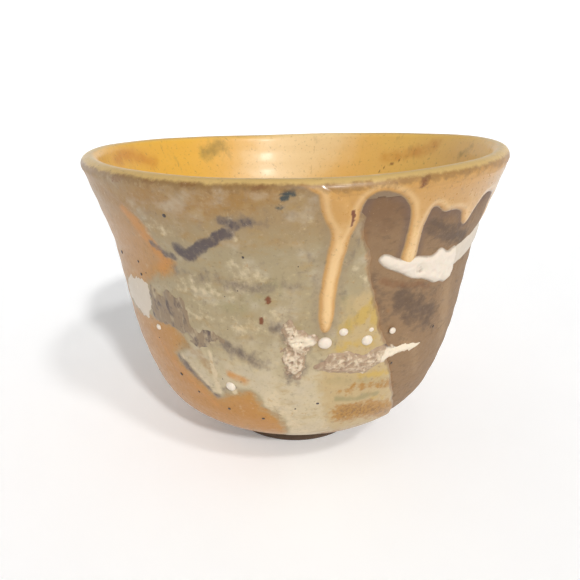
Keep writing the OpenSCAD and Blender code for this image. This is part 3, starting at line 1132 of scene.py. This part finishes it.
CLAY_WASHES = (
    Wash("high", "#7d5e42", 0.1, 1.0, 0.8, 3.0, 0.85),
    Wash("smoke", "#5a493f", 0.1, 0.9, 1.7, 2.6, 0.8, 0.6),
    Wash("pale_clay", "#ad9274", 0.1, 0.9, 0.7, 2.2, 0.8),
    Wash("orange", "#9a6c3c", 0.15, 1.0, 0.8, 2.2, 0.7),
    Wash("rust", "#7c4f2c", 0.2, 0.9, 0.8, 1.6, 0.7),
    # Darker towards the foot: painted shade under the bowl's belly
    Wash("level", "#7a5f4b", 16.0, 6.0, 8.0, 3.0, 0.7),
    # Greyer clay beside the honey runs: partly its own tint and partly painted shadow of the raised runs
    Wash("honey", "#74605a", -2.6, -0.2, 2.0, 1.2, 0.6),
    # Grog: pale and dark grains in the body
    Wash(None, "#b79e82", 0.10, 0.30, 1.0, 0.6, 0.6),
    Wash(None, "#4f3d33", 0.12, 0.30, -1.0, 0.8, 0.6),
    Wash(None, "#66513f", 0.02, 0.26, 1.0, 3.4, 0.6, 0.4),
)

SLIP_WASHES = (
    # Greyer where the slip lies low: painted shade in its crevices and crater
    Wash("lift", "#9a8878", -0.1, -0.5, 0.4, 1.2, 0.8),
    Wash(None, "#cbb7a6", 0.10, 0.34, 1.0, 2.4, 0.6),
    Wash(None, "#fdfaf5", 0.10, 0.34, -1.0, 1.2, 0.5),
)

CRUST_WASHES = (
    Wash("lift", "#5f4d46", 0.30, -0.30, 0.5, 1.0, 0.9),
    Wash(None, "#8d7468", 0.0, 0.20, 1.0, 1.8, 0.75),
    Wash(None, "#ecdfce", 0.0, 0.20, -1.0, 1.4, 0.8),
    Wash("chalk", "#f8f1e8", 0.2, 0.9, 0.7, 1.2, 0.95),
    Wash("lift", "#f8eee2", 0.50, 1.0, 0.4, 0.8, 0.7),
)

SMEAR_WASHES = (
    Wash(None, "#c0b49e", 0.0, 0.2, 1.0, 1.8, 0.8, 2.6),
    Wash(None, "#51434a", 0.0, 0.20, -1.0, 1.6, 0.85, 2.2),
)


@dataclass(frozen=True)
class Finish:
    """How one surface of the bowl looks."""

    name: str
    base: str
    washes: tuple[Wash, ...]
    roughness: float
    ior: float = 1.5
    coat: float = 0.0
    coat_roughness: float = 0.12
    bump: float = 0.04
    bump_size: float = 1.0
    subsurface: float = 0.0

    def material(self) -> bpy.types.Material:
        """Build the material.

        Returns:
            The material, ready for a slot.
        """
        bench = Bench(self.name)
        colour = chip(self.base)
        for wash in self.washes:
            value = bench.math("MULTIPLY", bench.grain(wash.size, tall=wash.tall), wash.grain)
            if wash.field:
                value = bench.math("ADD", bench.read(wash.field), value)
            amount = bench.grade(value, wash.low, wash.high, wash.most)
            if wash.fade:
                amount = bench.math("MULTIPLY", amount, bench.grade(bench.read(wash.fade), 0.4, 2.4))
            colour = bench.blend(amount, colour, chip(wash.colour))
        # Gloss breaks up where the glaze is thin or crystals dull it
        rough = bench.math("ADD", bench.math("MULTIPLY", bench.grain(1.4), 0.35), self.roughness)
        relief = bench.math("ADD", bench.grain(self.bump_size), bench.math("MULTIPLY", bench.grain(4.2), 1.5))
        bump = bench.node("ShaderNodeBump", {"Height": relief, "Strength": 1.0, "Distance": self.bump * MM})
        shader = bench.node("ShaderNodeBsdfPrincipled", {
            "Base Color": colour, "Roughness": rough, "IOR": self.ior, "Normal": bump.outputs[0],
            "Coat Weight": self.coat, "Coat Roughness": self.coat_roughness,
            "Subsurface Weight": self.subsurface, "Subsurface Scale": 1.0 * MM})
        bench.node("ShaderNodeOutputMaterial", {0: shader.outputs[0]})
        return bench.material


GLAZE_BASE = "#bd9056"
# Iron-bearing stoneware, thrown, trimmed and fired bare: dry and open, with grog
STONEWARE = Finish("bare_stoneware", "#957a5e", CLAY_WASHES, 0.62, 1.5, bump=0.09, bump_size=0.6)
# The same clay where it was trimmed at the foot, darkened as painted shade under the bowl
FOOT_CLAY_IN_SHADE = Finish("foot_clay_painted_shade", "#5a4738", CLAY_WASHES[7:], 0.7, 1.5, bump=0.1, bump_size=0.6)
# Poured ash glaze: satin, softly pitted
ASH = Finish("poured_ash_glaze", GLAZE_BASE, GLAZE_WASHES, 0.42, 1.5, 0.14, 0.2, 0.05, 0.9)
# Amber glaze, thin and a little glossier
AMBER = Finish("amber_glaze", GLAZE_BASE, GLAZE_WASHES, 0.40, 1.5, 0.16, 0.18, 0.045, 0.9)
# Yellow glaze, mottled by titanium
YELLOW = Finish("mottled_yellow_glaze", GLAZE_BASE, GLAZE_WASHES, 0.38, 1.52, 0.2, 0.18, 0.06, 0.9)
# Honey glaze, thick and clear
HONEY = Finish("honey_glaze", GLAZE_BASE, GLAZE_WASHES, 0.32, 1.52, 0.3, 0.12, 0.02, 1.2, 0.04)
# Liner glaze, glossier because it pooled
LINER = Finish("cream_liner_glaze", GLAZE_BASE, GLAZE_WASHES, 0.46, 1.5, 0.1, 0.2, 0.03, 1.2)
# Trailed white slip, thick, crumpled and satin
WHITE_SLIP = Finish("white_slip", "#efe9e8", SLIP_WASHES, 0.4, 1.5, 0.15, 0.2, 0.08, 0.7, 0.08)
# The same slip brushed thin
THIN_SLIP = Finish("thin_white_slip", "#ddd6d2", SLIP_WASHES[1:], 0.42, 1.5, 0.1, 0.2, 0.04, 0.8)
# Pink-cream slip that bloated in the fire
CRUST_SLIP = Finish("bloated_cream_slip", "#b09a86", CRUST_WASHES, 0.45, 1.5, 0.1, 0.2, 0.1, 0.6, 0.06)
# Grey slip wiped thin over the ash
GREY_SLIP = Finish("wiped_grey_slip", "#96846f", SMEAR_WASHES, 0.42, 1.5, 0.1, 0.2, 0.05, 0.9)
# Iron spots that melted through the glaze
IRON = Finish("iron_spot", "#3b2a20", SMEAR_WASHES[1:], 0.3, 1.6, 0.3, 0.1, 0.01, 0.6)


# ---- Spots and beads: geometry nodes ----------------------------------------------------------------


@dataclass(frozen=True)
class DotTree:
    """A geometry nodes tree that sets a low round dot on each point, flat against the wall."""

    name: str
    rings: int
    flatness: float
    unevenness: float
    seed: int

    def apply(self, piece: bpy.types.Object, material: bpy.types.Material) -> None:
        """Set the dots, and leave the piece a plain mesh.

        Args:
            piece: Loose points, each with a way out of the clay and a radius.
            material: The dots' material.
        """
        tree = bpy.data.node_groups.new(self.name, "GeometryNodeTree")
        face = tree.interface
        face.new_socket("Points", in_out="INPUT", socket_type="NodeSocketGeometry")
        sizes = {"Flatness": self.flatness, "Unevenness": self.unevenness}
        sockets = {key: face.new_socket(key, in_out="INPUT", socket_type="NodeSocketFloat") for key in sizes}
        face.new_socket("Dots", in_out="OUTPUT", socket_type="NodeSocketGeometry")

        node = partial(add_node, tree)
        given = node("NodeGroupInput").outputs
        ball = node("GeometryNodeMeshIcoSphere", {"Radius": 1.0, "Subdivisions": self.rings}).outputs[0]
        way = node("GeometryNodeInputNamedAttribute", {"Name": "out"}, data_type="FLOAT_VECTOR").outputs[0]
        size = node("GeometryNodeInputNamedAttribute", {"Name": "size"}, data_type="FLOAT").outputs[0]
        turn = node("FunctionNodeAlignRotationToVector", {"Vector": way}, axis="Z").outputs[0]
        least = node("ShaderNodeMath", {0: 1.0, 1: given["Unevenness"]}, operation="SUBTRACT").outputs[0]
        most = node("ShaderNodeMath", {0: 1.0, 1: given["Unevenness"]}, operation="ADD").outputs[0]
        uneven = node("FunctionNodeRandomValue", {2: least, 3: most, "Seed": self.seed},
                      data_type="FLOAT").outputs[1]
        wide = node("ShaderNodeMath", {0: size, 1: uneven}, operation="MULTIPLY").outputs[0]
        thick = node("ShaderNodeMath", {0: size, 1: given["Flatness"]}, operation="MULTIPLY").outputs[0]
        scale = node("ShaderNodeCombineXYZ", {0: wide, 1: size, 2: thick}).outputs[0]
        dots = node("GeometryNodeInstanceOnPoints", {"Points": given["Points"], "Instance": ball,
                                                     "Rotation": turn, "Scale": scale}).outputs[0]
        real = node("GeometryNodeRealizeInstances", {0: dots}).outputs[0]
        soft = node("GeometryNodeSetShadeSmooth", {0: real}).outputs[0]
        done = node("GeometryNodeSetMaterial", {0: soft, "Material": material}).outputs[0]
        node("NodeGroupOutput", {0: done})
        modifier = piece.modifiers.new(self.name, "NODES")
        modifier.node_group = tree
        for key, value in sizes.items():
            modifier[sockets[key].identifier] = value
        evaluated = piece.evaluated_get(bpy.context.evaluated_depsgraph_get())
        result = bpy.data.meshes.new_from_object(evaluated)
        piece.modifiers.clear()
        piece.data = result


# ---- The bowl's pieces ------------------------------------------------------------------------------


def bead(depth: Array, thickness: float, width: float) -> Array:
    """The rounded edge of a coat: it swells from nothing, and sinks into the clay outside its outline.

    Args:
        depth: How far inside the outline each place is, in mm.
        thickness: Full thickness, in mm.
        width: Distance over which it swells, in mm.

    Returns:
        The height of its face, in mm.
    """
    swell = np.sin(np.clip(depth / width, 0.0, 1.0) * math.pi / 2.0)
    return thickness * swell + 0.45 * np.minimum(depth, 0.0)


@dataclass
class Bowl:
    """The fired clay: the thrown body and its trimmed foot."""

    outline: Outline
    glaze_t: float = GLAZE_T
    foot_w: float = 6.0
    foot_taper: float = 0.6
    fine_step: float = 0.5
    coarse_step: float = 2.0

    def body(self, potter: Potter) -> bpy.types.Object:
        """Turn the clay body, bare at the front right and inside the foot.

        Args:
            potter: Makes the mesh.

        Returns:
            The piece.
        """
        fine = np.arange(8.0, 130.0, self.fine_step)
        bearings = np.concatenate([fine, np.arange(130.0, 368.0, self.coarse_step)])
        form = potter.form
        path = np.concatenate([np.arange(0.0, form.wall.length, 0.5),
                               np.linspace(form.wall.length, form.section.length, 70)])
        b, s = np.meshgrid(bearings, path, indexing="ij")
        pits = 0.05 * potter.marks.grain.rough(np.radians(b) * Form.REF_R, s, 2.0)
        xyz = form.place(b, s, np.full(b.shape, -self.glaze_t) + pits * smooth(s, 0.0, 4.0))
        r, z = np.hypot(xyz[..., 0], xyz[..., 1]), xyz[..., 2]
        r[:, -1] = 0.0
        z[:, -1] = float(np.mean(z[:, -1]))
        under = self.outline.foot_h
        lines = [np.stack([np.full(len(b), k) for k in (0.0, 0.0, under)], -1)[:, None],
                 np.stack([np.full(len(b), k) for k in (0.0, self.outline.foot_r * 0.6, under)], -1)[:, None],
                 np.stack([s, r, z], -1)]
        piece = potter.turned("clay_body", bearings, np.concatenate(lines, 1))
        piece.data.materials.append(STONEWARE.material())
        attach(piece, ROOT)
        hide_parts("clay_body")
        return piece

    def foot(self, potter: Potter) -> bpy.types.Object:
        """Turn the trimmed foot ring, with a small bevel at the table.

        Args:
            potter: Makes the mesh.

        Returns:
            The piece.
        """
        out_r, in_r, high = self.outline.foot_r, self.outline.foot_r - self.foot_w, self.outline.foot_h
        edge, knife = 0.7, 0.08
        section = [(in_r + edge, 0.0), (out_r - self.foot_taper - edge, 0.0), (out_r - self.foot_taper, edge)]
        section += [(out_r - self.glaze_t + knife * math.sin(k * 2.4), high * k / 6.0) for k in range(2, 6)]
        section += [(out_r - self.glaze_t, high), (in_r - self.foot_taper, high)]
        section += [(in_r - self.foot_taper * k / 6.0 + knife * math.sin(k), high * k / 6.0)
                    for k in range(5, 1, -1)]
        section += [(in_r, edge), (in_r + edge, 0.0)]
        lines = np.array([(0.0, r, z) for r, z in section])
        piece = potter.turned("foot_ring", np.arange(0.0, 360.0, 2.0), lines)
        piece.data.materials.append(FOOT_CLAY_IN_SHADE.material())
        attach(piece, ROOT)
        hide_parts("foot_ring")
        return piece


@dataclass
class Glazes:
    """The poured glazes, from the first amber coat to the honey runs."""

    potter: Potter
    glaze_t: float = GLAZE_T
    ash_t: float = 0.1
    yellow_t: float = 0.1
    honey_t: float = 0.62
    fold: float = 4.4
    bare_w: float = 6.3
    # Margin of each coat that is sunk in the clay, and how far one coat runs under another
    sunk: float = 0.9
    overlap: float = 2.2
    # How far below the crest of the lip the outer coats end
    lip_gap: float = 2.6

    def off_bare(self, b: Array, s: Array) -> Array:
        """How far each place is from bare clay: the front panel, or the wandering line over the foot.

        Args:
            b: Bearings, in degrees.
            s: Distances along the section, in mm.

        Returns:
            Signed distances, in mm.
        """
        turn = np.radians(b)
        wander = self.potter.marks.grain.rough(12.0 * np.sin(turn), 12.0 * np.cos(turn), 6.0)
        foot_line = s - self.bare_w - 1.6 * wander
        return np.minimum(-self.potter.marks.depth(Region.BARE, b, s), foot_line)

    def ground(self, b: Array, s: Array) -> Array:
        """Lift of the poured glazes' own edges beside bare clay."""
        return -self.glaze_t + bead(self.off_bare(b, s), self.glaze_t, 1.5)

    def room(self, b: Array, s: Array) -> Array:
        """How far inside the poured glazes' room each place is, with a margin sunk in the clay."""
        return np.minimum(self.off_bare(b, s) + self.sunk, self.potter.form.crest_s - self.lip_gap - s)

    def amber_coat(self, b: Array, s: Array) -> tuple[Array, Array]:
        """Lift and reach of the amber glaze, which runs a little way under the others.

        Args:
            b: Bearings, in degrees.
            s: Distances along the section, in mm.

        Returns:
            The lift and the reach, in mm.
        """
        marks = self.potter.marks
        keep = self.overlap - np.maximum(marks.ash(b, s), marks.depth(Region.YELLOW, b, s))
        return self.ground(b, s), np.minimum(keep, self.room(b, s))

    def ash_coat(self, b: Array, s: Array) -> tuple[Array, Array]:
        """Lift and reach of the ash glaze, which lies over the amber.

        Args:
            b: Bearings, in degrees.
            s: Distances along the section, in mm.

        Returns:
            The lift and the reach, in mm.
        """
        depth = self.potter.marks.ash(b, s)
        step = self.ash_t * smooth(depth, 0.0, 1.6) + 0.4 * np.minimum(depth, 0.0)
        keep = np.minimum(depth + self.sunk, self.overlap - self.potter.marks.depth(Region.YELLOW, b, s))
        return self.ground(b, s) + step, np.minimum(keep, self.room(b, s))

    def yellow_coat(self, b: Array, s: Array) -> tuple[Array, Array]:
        """Lift and reach of the yellow glaze, which lies over the ash.

        Args:
            b: Bearings, in degrees.
            s: Distances along the section, in mm.

        Returns:
            The lift and the reach, in mm.
        """
        depth = self.potter.marks.depth(Region.YELLOW, b, s)
        step = self.ash_t + self.yellow_t * smooth(depth, 0.0, 1.6) + 0.4 * np.minimum(depth, 0.0)
        return self.ground(b, s) + step, np.minimum(depth + self.sunk, self.room(b, s))

    def honey_coat(self, b: Array, s: Array) -> tuple[Array, Array]:
        """Lift and reach of the honey glaze, thickest at the ends of its runs.

        Args:
            b: Bearings, in degrees.
            s: Distances along the section, in mm.

        Returns:
            The lift and the reach, in mm.
        """
        depth = self.potter.marks.depth(Region.HONEY, b, s)
        low = 1.0 - smooth(self.potter.form.level_of(s), 60.0, 92.0)
        thick = bead(depth, self.honey_t, 2.4) * np.where(depth > 0.0, 0.75 + 0.5 * low, 1.0)
        crest = self.potter.form.crest_s
        thick = thick * (1.0 - 0.6 * smooth(s, crest - 6.0, crest - 2.5))
        base = np.maximum(self.ground(b, s), -self.glaze_t) + self.ash_t
        return base + thick, np.minimum(depth + self.sunk, self.potter.form.crest_s - self.lip_gap - s)

    def liner_coat(self, b: Array, s: Array) -> tuple[Array, Array]:
        """Lift and reach of the liner, folded over the lip.

        Args:
            b: Bearings, in degrees.
            s: Distances along the section, in mm.

        Returns:
            The lift and the reach, in mm.
        """
        u = np.radians(b) * Form.REF_R
        wander = 0.5 * self.potter.marks.grain.rough(u, s * 0.0, 5.0)
        depth = s - (self.potter.form.crest_s - self.fold) + wander
        fold = self.ash_t + 0.12 * smooth(depth, 0.0, 1.4) + 0.3 * np.minimum(depth, 0.0)
        far = smooth(s, self.potter.form.crest_s, self.potter.form.crest_s + 5.0)
        return fold * (1.0 - far), depth + 1.2

    def finish(self, piece: bpy.types.Object, finish: Finish, node: str, slot: str) -> bpy.types.Object:
        """Dress a glaze and set it in its node's place.

        Args:
            piece: The piece.
            finish: Its finish.
            node: The node that it stands for.
            slot: Not used.

        Returns:
            The piece.
        """
        piece.data.materials.append(finish.material())
        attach(piece, ROOT)
        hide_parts(node)
        LOG.info("%s: %d faces", piece.name, len(piece.data.polygons))
        return piece

    def pour(self) -> None:
        """Make every glaze in the order it was poured."""
        form, shell = self.potter.form, self.potter.shell
        crest = form.crest_s
        low, high = self.bare_w - 3.6, crest - 2.0
        under = -self.glaze_t - 0.3

        def window(start: float, end: float, step: float, floor: float = low) -> Window:
            """Lay out a window from the foot to the lip."""
            across = int(math.radians(end - start) * Form.REF_R / step)
            return Window(np.linspace(start, end, across), np.arange(floor, high, step))

        amber = [window(-180.0, 66.0, 0.72), window(66.0, 180.0, 0.9)]
        self.finish(shell("amber_glaze", amber, self.amber_coat, under), AMBER, "amber_glaze", "amber")
        ash = [window(-68.0, 36.0, 0.52), window(154.0, 236.0, 0.9)]
        self.finish(shell("ash_glaze", ash, self.ash_coat, under), ASH, "ash_glaze", "ash")
        yellow = [window(4.0, 68.0, 0.45)]
        self.finish(shell("yellow_glaze", yellow, self.yellow_coat, under), YELLOW, "yellow_glaze", "yellow")
        self.runs(shell, under, high)
        path = np.concatenate([np.arange(crest - self.fold - 1.6, crest + 9.0, 0.42),
                               np.arange(crest + 9.0, form.section.length - 2.0, 1.5),
                               [form.section.length - 1.0, form.section.length]])
        liner = [Window(np.arange(0.0, 360.0, 0.9), path, turn=True, pole=True)]
        self.finish(shell("liner_glaze", liner, self.liner_coat, under), LINER, "liner_glaze", "liner")

    def runs(self, shell: Callable, under: float, high: float) -> None:
        """Make the honey collar and the three runs that hang from it as one sheet cut in four.

        Args:
            shell: Makes a sheet.
            under: Lift of its underside, in mm.
            high: Where it ends under the lip, in mm along the section.
        """
        form = self.potter.form
        root = float(form.s_of(91.0, 20.0))
        tip = float(form.s_of(54.0, 8.0))
        step = 0.45
        upper, lower = np.arange(root, high, step), np.arange(tip, root + step / 2.0, step)
        lower = np.linspace(tip, root, len(lower))
        cuts = {"long_run": (2.0, 20.0), "short_run": (20.0, 36.5), "side_run": (36.5, 56.0)}
        turn_step = math.degrees(step / Form.REF_R)

        def across(start: float, end: float) -> Array:
            """Even bearings between two cuts."""
            return np.linspace(start, end, int(round((end - start) / turn_step)))

        parts = {"honey_collar": [Window(across(2.0, 164.0), upper), Window(across(56.0, 164.0), lower)]}
        for name, (start, end) in cuts.items():
            parts[name] = [Window(across(start, end), lower)]
        for name, windows in parts.items():
            self.finish(shell(name, windows, self.honey_coat, under), HONEY, name, "honey")


@dataclass
class Slips:
    """White and grey slip, trailed, flicked and wiped over the glaze."""

    potter: Potter
    step: float = 0.28
    glaze_t: float = GLAZE_T
    ash_t: float = 0.2

    def crumpled(self, region: Region, thick: float, lump: float, lumps: float, width: float,
                 lace: float) -> Coat:
        """A slip whose face is crumpled.

        Args:
            region: Its outline.
            thick: Its thickness over the glaze, in mm.
            lump: Height of the crumples, in mm.
            lumps: Size of the crumples, in mm.
            width: Distance over which its edge swells, in mm.
            lace: How far its edge breaks up, in mm.

        Returns:
            The coat.
        """
        marks = self.potter.marks
        crater = self.potter.form.flat([(34.0, 72.2)])[0]

        def coat(b: Array, s: Array) -> tuple[Array, Array]:
            """Lift and reach of the slip.

            Args:
                b: Bearings, in degrees.
                s: Distances along the section, in mm.

            Returns:
                The lift and the reach, in mm.
            """
            u = np.radians(b) * Form.REF_R
            depth = marks.depth(region, b, s) - lace * (0.2 + marks.grain.rough(u + 77.0, s + 13.0, 2.4, 4))
            rough = marks.grain.rough(u + 31.0, s * 1.5, lumps, 4)
            ridges = 0.6 - 2.2 * np.abs(rough)
            pit = 1.0 - smooth(np.hypot(u - crater[0], s - crater[1]), 0.6, 2.2)
            face = bead(depth, thick, width) + lump * ridges * smooth(depth, 0.0, 1.4) - 0.7 * thick * pit
            on_bare = smooth(marks.depth(Region.BARE, b, s), -1.0, 1.0)
            return self.ash_t * (1.0 - on_bare) - self.glaze_t * on_bare + face, depth + 0.7

        return coat

    def lay(self) -> None:
        """Make every slip."""
        form = self.potter.form
        # Name, outline, window, thickness, crumple height and size, edge, lace, finish and slot
        slips = (
            ("white_patch", Region.PATCH, (18, 63), (53, 81),
             0.7, 0.22, 4.6, 1.6, 0.1, WHITE_SLIP, "white_slip"),
            ("white_trail", Region.TRAIL, (43, 66), (79, 84),
             0.35, 0.12, 3.6, 1.1, 0.2, THIN_SLIP, "white_slip"),
            ("white_streak", Region.STREAK, (3, 39), (45, 53),
             0.35, 0.35, 2.2, 1.0, 0.5, CRUST_SLIP, "white_slip"),
            ("white_crust", Region.CRUST, (-7, 38), (8, 63),
             0.45, 0.6, 2.4, 1.0, 1.5, CRUST_SLIP, "white_slip"),
            ("white_flash", Region.FLASH, (-67, 51), (-43, 69),
             0.1, 0.04, 2.0, 1.6, 1.2, THIN_SLIP, "white_slip"),
            ("grey_smear", Region.SMEAR, (-49, 46), (-17, 69),
             0.1, 0.06, 2.0, 1.4, 1.4, GREY_SLIP, "grey_slip"))
        for name, region, low, high, thick, lump, lumps, width, lace, finish, slot in slips:
            window = Window.over(low, high, form, self.step)
            coat = self.crumpled(region, thick, lump, lumps, width, lace)
            piece = self.potter.shell(name, [window], coat, -self.glaze_t - 0.3)
            piece.data.materials.append(finish.material())
            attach(piece, ROOT)
            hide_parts(name)
            LOG.info("%s: %d faces", name, len(piece.data.polygons))


@dataclass
class Dots:
    """Beads of slip and iron spots that stand a hair proud of the glaze."""

    potter: Potter
    # Bearing, level and radius in mm
    beads: tuple[tuple[float, float, float], ...] = (
        (13, 56.5, 1.0), (20, 53, 1.35), (21, 56.2, 0.6), (28, 54.5, 0.8), (8, 53.5, 1.5), (-20, 37, 1.3),
        (-45, 51.5, 0.8))
    spots: tuple[tuple[float, float, float], ...] = (
        (-30, 89, 0.5), (-12, 79, 0.4), (-60, 72, 0.45), (-48, 72, 0.35), (-48, 68, 0.4), (-40, 36, 0.5),
        (-34, 31, 0.35), (-23, 27, 0.4), (-11, 25, 0.35), (7, 32, 0.4), (10, 38, 0.3), (14, 33, 0.35),
        (0, 30, 0.3), (46, 51, 0.4), (30, 43, 0.35), (19, 46, 0.4), (25, 46, 0.35), (11, 48, 0.3))
    scattered: int = 70
    seed: int = 8

    def points(self, name: str, dots: Sequence[tuple[float, float, float]], lift: float) -> bpy.types.Object:
        """Lay loose points on the wall.

        Args:
            name: The piece's name.
            dots: Bearing, level and radius of each.
            lift: Distance outside the glazed face, in mm.

        Returns:
            The piece, with a way out and a size at each point.
        """
        form = self.potter.form
        b, level, size = np.array(dots, float).T
        s = form.s_of(level, b)
        at = form.place(b, s, np.full(b.shape, lift))
        out = form.place(b, s, np.full(b.shape, lift + 1.0)) - at
        piece = self.potter.mesh(name, at, [], {"size": size * MM})
        mesh = piece.data
        ways = mesh.attributes.new("out", "FLOAT_VECTOR", "POINT")
        ways.data.foreach_set("vector", out.astype(np.float32).ravel())
        return piece

    def make(self) -> None:
        """Make the beads and the iron spots."""
        beads = self.points("slip_beads", self.beads, 0.05)
        DotTree("round_beads", 4, 0.62, 0.12, 3).apply(beads, WHITE_SLIP.material())
        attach(beads, ROOT)
        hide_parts("slip_beads")
        rng = np.random.default_rng(self.seed)
        loose = [(b, level, 0.10 + 0.14 * k ** 3) for b, level, k in
                 zip(rng.uniform(-180, 180, self.scattered), rng.uniform(12, 92, self.scattered),
                     rng.uniform(0, 1, self.scattered)) if not 14 < b < 126]
        spots = self.points("iron_spots", [*self.spots, *loose], 0.06)
        DotTree("flat_spots", 2, 0.34, 0.3, 4).apply(spots, IRON.material())
        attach(spots, ROOT)
        LOG.info("beads and spots: %d faces", len(beads.data.polygons) + len(spots.data.polygons))


# ---- Studio -----------------------------------------------------------------------------------------


@dataclass
class Studio:
    """The pale paper cove, soft lights and the camera."""

    eye: tuple[float, float, float] = (0.0, -0.1725, 0.100)
    pitch: float = 19.0
    yaw: float = 0.49
    roll: float = -0.4
    lens: float = 37.1
    floor_r: float = 1.3
    cove_r: float = 0.3
    wall_h: float = 0.8
    paper_steps: int = 96
    # Light that the paper gives of its own, as bright cloth does in an over-lit room
    floor_glow: float = 0.12
    wall_glow: float = 0.28
    # Brightness of the room at table level and overhead
    room: tuple[float, float] = (0.08, 0.36)
    # Name, bearing, height in degrees, strength and spread in degrees
    lamps: tuple[tuple[str, float, float, float, float], ...] = (
        ("window_light", 22.0, 34.0, 1.65, 4.0),
        ("ceiling_light", 36.0, 48.0, 0.72, 6.0))

    def turned_paper(self, name: str, line: list[Place], tints: tuple[str, str], glow: float) -> None:
        """Turn a sheet of paper round the bowl.

        Args:
            name: Its name.
            line: Radius and height of each row, in metres.
            tints: The two tints that its fibre mottles between.
            glow: Light that it gives of its own.
        """
        steps = self.paper_steps
        turns = [2.0 * math.pi * k / steps for k in range(steps)]
        points = [(r * math.sin(a), r * math.cos(a), z) for r, z in line for a in turns]
        faces = [(row * steps + k, (row + 1) * steps + k, (row + 1) * steps + (k + 1) % steps,
                  row * steps + (k + 1) % steps) for row in range(len(line) - 1) for k in range(steps)]
        mesh = bpy.data.meshes.new(name)
        mesh.from_pydata(points, [], faces)
        mesh.shade_smooth()
        paper = bpy.data.objects.new(name, mesh)
        bpy.context.scene.collection.objects.link(paper)
        bench = Bench(name)
        colour = bench.blend(bench.grade(bench.grain(30.0), -0.4, 0.4), srgb(tints[0]), srgb(tints[1]))
        shader = bench.node("ShaderNodeBsdfPrincipled", {
            "Base Color": colour, "Roughness": 0.9, "Specular IOR Level": 0.2,
            "Emission Color": (1.0, 1.0, 1.0, 1.0), "Emission Strength": glow})
        bench.node("ShaderNodeOutputMaterial", {0: shader.outputs[0]})
        mesh.materials.append(bench.material)

    def sweep(self) -> None:
        """Lay the matt paper that the bowl stands on, coved up into a wall all round."""
        flat = [(r, 0.0) for r in (0.001, 0.1, 0.4, self.floor_r)]
        self.turned_paper("paper_floor", flat, ("#fafafa", "#fdfdfd"), self.floor_glow)
        cove = [(self.floor_r + self.cove_r * math.sin(a), self.cove_r * (1.0 - math.cos(a)))
                for a in np.linspace(0.0, math.pi / 2.0, 13)]
        wall = [*cove, (self.floor_r + self.cove_r, self.wall_h)]
        self.turned_paper("paper_wall", wall, ("#f4f4f4", "#fafafa"), self.wall_glow)

    def lights(self) -> None:
        """Hang the lamps and lift the shadows with a white room."""
        world = bpy.data.worlds.new("white_room")
        world.use_nodes = True
        nodes, links = world.node_tree.nodes, world.node_tree.links
        # Brighter overhead than at the level of the table
        height = nodes.new("ShaderNodeSeparateXYZ")
        links.new(nodes.new("ShaderNodeTexCoord").outputs["Generated"], height.inputs[0])
        rise = nodes.new("ShaderNodeMapRange")
        for key, value in zip((1, 2, 3, 4), (0.0, 1.0, *self.room)):
            rise.inputs[key].default_value = value
        links.new(height.outputs["Z"], rise.inputs[0])
        nodes["Background"].inputs["Color"].default_value = (0.985, 0.992, 1.0, 1.0)
        links.new(rise.outputs[0], nodes["Background"].inputs["Strength"])
        bpy.context.scene.world = world
        for name, bearing, height, strength, spread in self.lamps:
            lamp = bpy.data.lights.new(name, "SUN")
            lamp.energy, lamp.angle = strength, math.radians(spread)
            held = bpy.data.objects.new(name, lamp)
            turn, rise = math.radians(bearing), math.radians(height)
            out = math.cos(rise)
            place = Vector((math.sin(turn) * out, -math.cos(turn) * out, math.sin(rise)))
            held.location = place
            held.rotation_euler = (-place).to_track_quat("-Z", "Y").to_euler()
            bpy.context.scene.collection.objects.link(held)

    def camera(self) -> None:
        """Set the camera at the front, looking down a little."""
        camera = bpy.data.cameras.new("camera")
        camera.lens, camera.sensor_width = self.lens, 36.0
        camera.clip_start = 0.01
        held = bpy.data.objects.new("camera", camera)
        turn = (Matrix.Rotation(math.radians(self.yaw), 4, "Z")
                @ Matrix.Rotation(math.radians(90.0 - self.pitch), 4, "X")
                @ Matrix.Rotation(math.radians(self.roll), 4, "Z"))
        held.matrix_world = Matrix.Translation(self.eye) @ turn
        bpy.context.scene.collection.objects.link(held)
        bpy.context.scene.camera = held
        bpy.context.scene.view_settings.view_transform = "Standard"


def main() -> None:
    """Build the bowl in the order it was made, then the studio."""
    logging.basicConfig(level=logging.INFO)
    low, high = CAD_BOX
    _, foot_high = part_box("foot_ring")
    outline = Outline(rim_r=(high[0] - low[0]) / 2.0 / MM, height=high[2] / MM,
                      foot_r=foot_high[0] / MM + GLAZE_T, foot_h=foot_high[2] / MM)
    form = Form(outline, mark_h=outline.height - MARK_DROP)
    marks = Marks(form)
    potter = Potter(form, marks, Painting(form, marks))
    bowl = Bowl(outline)
    for piece in (bowl.body(potter), bowl.foot(potter)):
        LOG.info("%s: %d faces", piece.name, len(piece.data.polygons))
    Glazes(potter).pour()
    Slips(potter).lay()
    Dots(potter).make()
    studio = Studio()
    studio.sweep()
    studio.lights()
    studio.camera()


if __name__ == "__main__":
    main()
